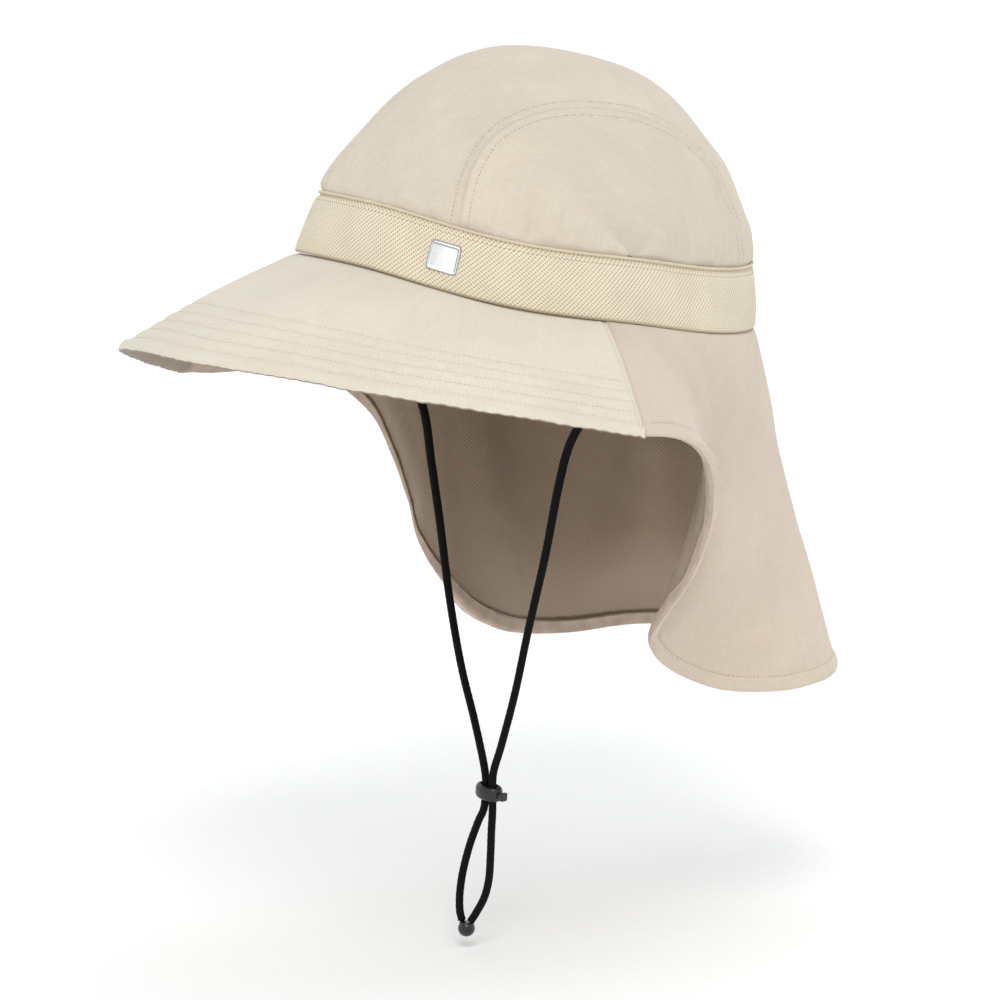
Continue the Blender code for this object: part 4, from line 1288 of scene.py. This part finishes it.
def makeCape(s):
    begin = brimSettings["endAngle"] + 0.02
    around = np.linspace(begin, 360 - begin, s["steps"] + 1)
    down = 1 - (1 - np.linspace(0.0, 1.0, s["rows"] + 1)) ** 1.12
    base = capeSurface(around, down)
    normal = gridNormals(base)
    if normal[s["steps"] // 2, s["rows"] // 2, 1] < 0:
        normal = -normal
    signed = np.where(around <= 180.0, around, around - 360.0)
    # distance from the free edge and from the seam with the brim
    away = walked(base[:, ::-1], axis=1)[:, ::-1]
    near = walked(base, axis=0)
    fromSeam = np.minimum(near, near[-1:] - near)
    fromBand = walked(base, axis=1)
    free = ease(fromBand / 0.03) * ease(fromSeam / 0.012)
    # long soft ripples that run down the cloth, and small slack creases
    turned = np.radians(signed)[:, None] * noiseRadius + 0 * fromBand
    run = np.stack([turned, fromBand * 0.16, 0 * fromBand], axis=-1)
    ripple = softNoise(run, 0.019) * 0.75 + softNoise(run + 4.0, 0.0095) * 0.3
    crease = softNoise(base * [1, 1, 0.7], 0.03) + 0.35 * softNoise(base + 2.0, 0.012)
    relief = (s["ripple"] * ripple + s["crease"] * crease) * free
    gather = softNoise(run * [1, 0.5, 1] + 8.0, 0.0048)
    nearBand = ease(fromBand / 0.004) * (1 - ease((fromBand - 0.012) / 0.03))
    relief += s["gather"] * gather * nearBand * ease(fromSeam / 0.01)
    hem = ease((s["hemWidth"] - away) / 0.0012)
    relief += 0.0005 * hem * ease(away / 0.001)
    relief -= s["stitchDip"] * dip(away - s["hemStitch"], s["stitchWidth"])
    hemRun = walked(base[:, -1])[:, None]
    tug = np.sin(hemRun * 2 * np.pi / s["tugPitch"]) * 0.5 + softNoise(base, 0.0055)
    relief += s["tug"] * tug * ease((0.012 - away) / 0.004)
    # slanting creases below the seam with the brim, most on the near side
    arc = np.radians(np.abs(signed))[:, None] * hatSettings["width"] / 2
    slant = softNoise(np.stack([arc - fromBand * 0.5, fromBand * 0.14, 0 * fromBand + 1.0], axis=-1), 0.0105)
    slant = slant * ease(fromBand / 0.02) * (1 - ease((fromBand - 0.06) / 0.05))
    slant = slant * ease((fromSeam - 0.004) / 0.01)
    relief += s["slant"] * slant * (1 - ease((np.abs(signed) - 96.0) / 26.0))[:, None]
    relief -= s["seamDip"] * dip(fromSeam - s["seamStitch"], s["stitchWidth"])
    relief += 0.0003 * dip(fromSeam - 0.0030, 0.0012)
    relief -= 0.00015 * dip(fromSeam, 0.0005)
    # the front edges roll outwards a little
    front = 1 - ease((np.abs(signed) - 112.0) / 12.0)
    roll = front * ease((np.abs(signed) - 76.0) / 8.0)
    relief += s["frontRoll"] * roll[:, None] * ease((0.006 - away) / 0.006) ** 1.5
    wrinkle = softNoise(base * [1, 1, 0.8] + 6.0, 0.0085) * roll[:, None]
    relief += s["frontWrinkle"] * wrinkle * ease((0.014 - away) / 0.010)
    relief *= ease(fromBand / 0.0008)
    surface = base + normal * relief[..., None]
    flat = normal.copy()
    flat[[0, -1]] = (0.0, 0.0, 1.0)
    wall = s["wall"] + (s["hemWall"] - s["wall"]) * ease((s["hemWidth"] - away) / 0.0009)
    wall = wall * (0.35 + 0.65 * ease(away / 0.0011) ** 0.6)
    middle = base - flat * (s["wall"] / 2)
    inner = base - flat * wall[..., None] + normal * (relief * (1 - hem * 0.8))[..., None]
    endRows = [0, -1]
    inner[endRows] = base[endRows] - flat[endRows] * wall[endRows][..., None]
    surface[endRows] = base[endRows]
    inner[:, 0] = surface[:, 0] - [0.0, 0.0, s["wall"]]
    ledge = ringPoint(signed, -bandSettings["wall"], -hatSettings["gap"])
    outer = np.concatenate([ledge[:, None, :], surface], axis=1)
    inside = np.concatenate([ledge[:, None, :] - [0.0, 0.0, s["wall"]], inner], axis=1)
    uv = clothUv(np.concatenate([ledge[:, None, :], middle], axis=1))
    cape = clothPiece("neckCape", outer, inside, [capeCloth, shadedCapeLining], uv)
    edgeAway = np.concatenate([away[:, :1], away], axis=1).ravel()
    layer = cape.data.attributes.new("edgeAway", "FLOAT", "POINT")
    layer.data.foreach_set("value", np.concatenate([edgeAway, edgeAway]))
    at = np.linspace(2.0, s["steps"] - 2.0, 700)
    level = reachStep(away, s["hemStitch"], at)
    rows = [gridLine(surface, normal, at, level)]
    rows += endLines(surface, normal, np.arange(2.0, len(down) - 3.0), s["seamStitch"])
    rows.append(gridLine(inner, -normal, at, level))
    return [cape, stitchRows("capeStitches", rows, thread=0.00038)]


capePieces = makeCape(capeSettings)
print("cape made")

# plain plate on the band

plateSettings = {
    "width": 0.016,
    "height": 0.0125,
    "thickness": 0.0012,
    "angle": 29.0,
    "edge": 0.0009,
    "steps": 60,
    "corner": 0.0022,
    "lift": 0.0003,
    "rim": 0.00015,  # height of the plate's edge before it rounds up
    "dish": 0.00022,
    "dishAway": 0.0011,
    "dishRamp": 0.0007,
}


def makePlate(s):
    # rounded plate with a soft rim and a shallow dished face, bent to the band
    share = np.linspace(-1.0, 1.0, s["steps"] + 1)
    a, b = np.meshgrid(share, share, indexing="ij")
    halfX, halfY = s["width"] / 2, s["height"] / 2
    inX, inY = halfX - s["corner"], halfY - s["corner"]
    x, y = a * halfX, b * halfY
    overX, overY = np.maximum(np.abs(x) - inX, 0), np.maximum(np.abs(y) - inY, 0)
    far = np.hypot(overX, overY)
    pull = np.where(far > s["corner"], s["corner"] / np.maximum(far, 1e-9), 1.0)
    x = np.sign(x) * (np.minimum(np.abs(x), inX) + overX * pull)
    y = np.sign(y) * (np.minimum(np.abs(y), inY) + overY * pull)
    away = s["corner"] - np.hypot(np.maximum(np.abs(x) - inX, 0), np.maximum(np.abs(y) - inY, 0))
    away = np.minimum(away, np.minimum(halfX - np.abs(x), halfY - np.abs(y)))
    rise = np.sqrt(np.clip(1 - (1 - np.clip(away / s["edge"], 0, 1)) ** 2, 0, 1))
    dish = s["dish"] * ease((away - s["dishAway"]) / s["dishRamp"])
    height = bandSettings["height"] / 2 + y
    lean = -bandSettings["taper"] * height / bandSettings["height"]
    angle = s["angle"] + np.degrees(x / (hatSettings["length"] / 2))
    out = lean + s["lift"] + s["rim"] + s["thickness"] * rise - dish
    outer = ringPoint(angle, out, height)
    inner = ringPoint(angle, lean + s["lift"], height)
    uv = np.stack([x, y], axis=-1)
    return clothPiece("bandPlate", outer, inner, [plateMetal], uv)


plate = makePlate(plateSettings)
print("plate made")

# light and floor

studioSettings = {
    "floorHeight": -0.272,
    "floorHalf": 9.0,
    "sky": (0.97, 0.985, 1.0),
    "skyStrength": 0.93,
    "lamps": [
        # name, place, aim, size, watts, colour
        ("keyLamp", (2.3, -2.3, 3.3), (0, 0, -0.02), 1.8, 78.0, (1.0, 0.985, 0.96)),
        ("fillLamp", (-3.6, -1.6, 1.6), (0, 0, -0.05), 2.4, 8.0, (1.0, 0.99, 0.975)),
        ("backLamp", (0.8, 3.4, 2.8), (0, 0, 0.0), 2.2, 16.0, (0.98, 0.99, 1.0)),
    ],
}


def makeStudio(s):
    mesh = bpy.data.meshes.new("floor")
    half, z = s["floorHalf"], s["floorHeight"]
    corners = [(x * half, y * half, z) for x, y in ((-1, -1), (1, -1), (1, 1), (-1, 1))]
    mesh.from_pydata(corners, [], [range(4)])
    f = Finish("floorPaper", {"Specular IOR Level": 0.1})
    grain = f.noise(f.place(), 0.003, detail=2.0)
    tone = f.mix(grain.between(0.3, 0.7), (0.955, 0.955, 0.95, 1.0), (0.97, 0.97, 0.965, 1.0))
    mesh.materials.append(f.finish(tone, grain * 0.05 + 0.85, grain * 0.00002))
    link(bpy.data.objects.new("floor", mesh))
    for name, place, aim, size, watts, colour in s["lamps"]:
        lamp = bpy.data.lights.new(name, "AREA")
        lamp.shape = "DISK"
        lamp.size = size
        lamp.energy = watts
        lamp.color = colour
        made = link(bpy.data.objects.new(name, lamp))
        made.location = place
        made.rotation_euler = (Vector(aim) - Vector(place)).to_track_quat("-Z", "Y").to_euler()
    world = bpy.data.worlds.new("studio")
    world.use_nodes = True
    sky = world.node_tree.nodes["Background"]
    sky.inputs["Color"].default_value = (*s["sky"], 1.0)
    sky.inputs["Strength"].default_value = s["skyStrength"]
    bpy.context.scene.world = world
    bpy.context.scene.view_settings.view_transform = "Standard"
    bpy.context.scene.view_settings.look = "None"


makeStudio(studioSettings)
print("studio made")

# what each piece stands for and rides on: each is attached to the root body and the CAD part it stands for is
# hidden

crownCenter, crownLeft, crownRight, crownStitches = crownPieces
hatBand, bandStitches = bandPieces
brim, brimStitches = brimPieces
neckCape, capeStitches = capePieces
standsFor = [
    (crownCenter, "crown_center_panel", "crown_cloth"),
    (crownLeft, "crown_side_panel_left", "crown_cloth"),
    (crownRight, "crown_side_panel_right", "crown_cloth"),
    (hatBand, "hat_band", "band_knit"),
    (piping, "band_piping", "piping_cloth"),
    (brim, "brim", "brim_cloth"),
    (neckCape, "neck_cape", "cape_cloth"),
    (plate, "band_plate", "plate_metal"),
    (cordLeft, "chin_cord_left", "cord_elastic"),
    (cordRight, "chin_cord_right", "cord_elastic"),
    (cordLock, "cord_lock", "lock_plastic"),
    (cordButton, "cord_lock_button", "lock_plastic"),
    (cordBead, "cord_end_bead", "lock_plastic"),
]
for piece, node, slot in standsFor:
    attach(piece, "root")
    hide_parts(node)
for piece, slot in (
    (crownStitches, "crown_cloth"),
    (bandStitches, "piping_cloth"),
    (brimStitches, "brim_cloth"),
    (capeStitches, "cape_cloth"),
):
    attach(piece, "root")


cordEnds = [(cordLeft, pathLeft, [cordLock, cordButton]), (cordRight, pathRight, [cordBead])]
for piece, path, fittings in cordEnds:
    path[::12].tolist() + [path[-1].tolist()]
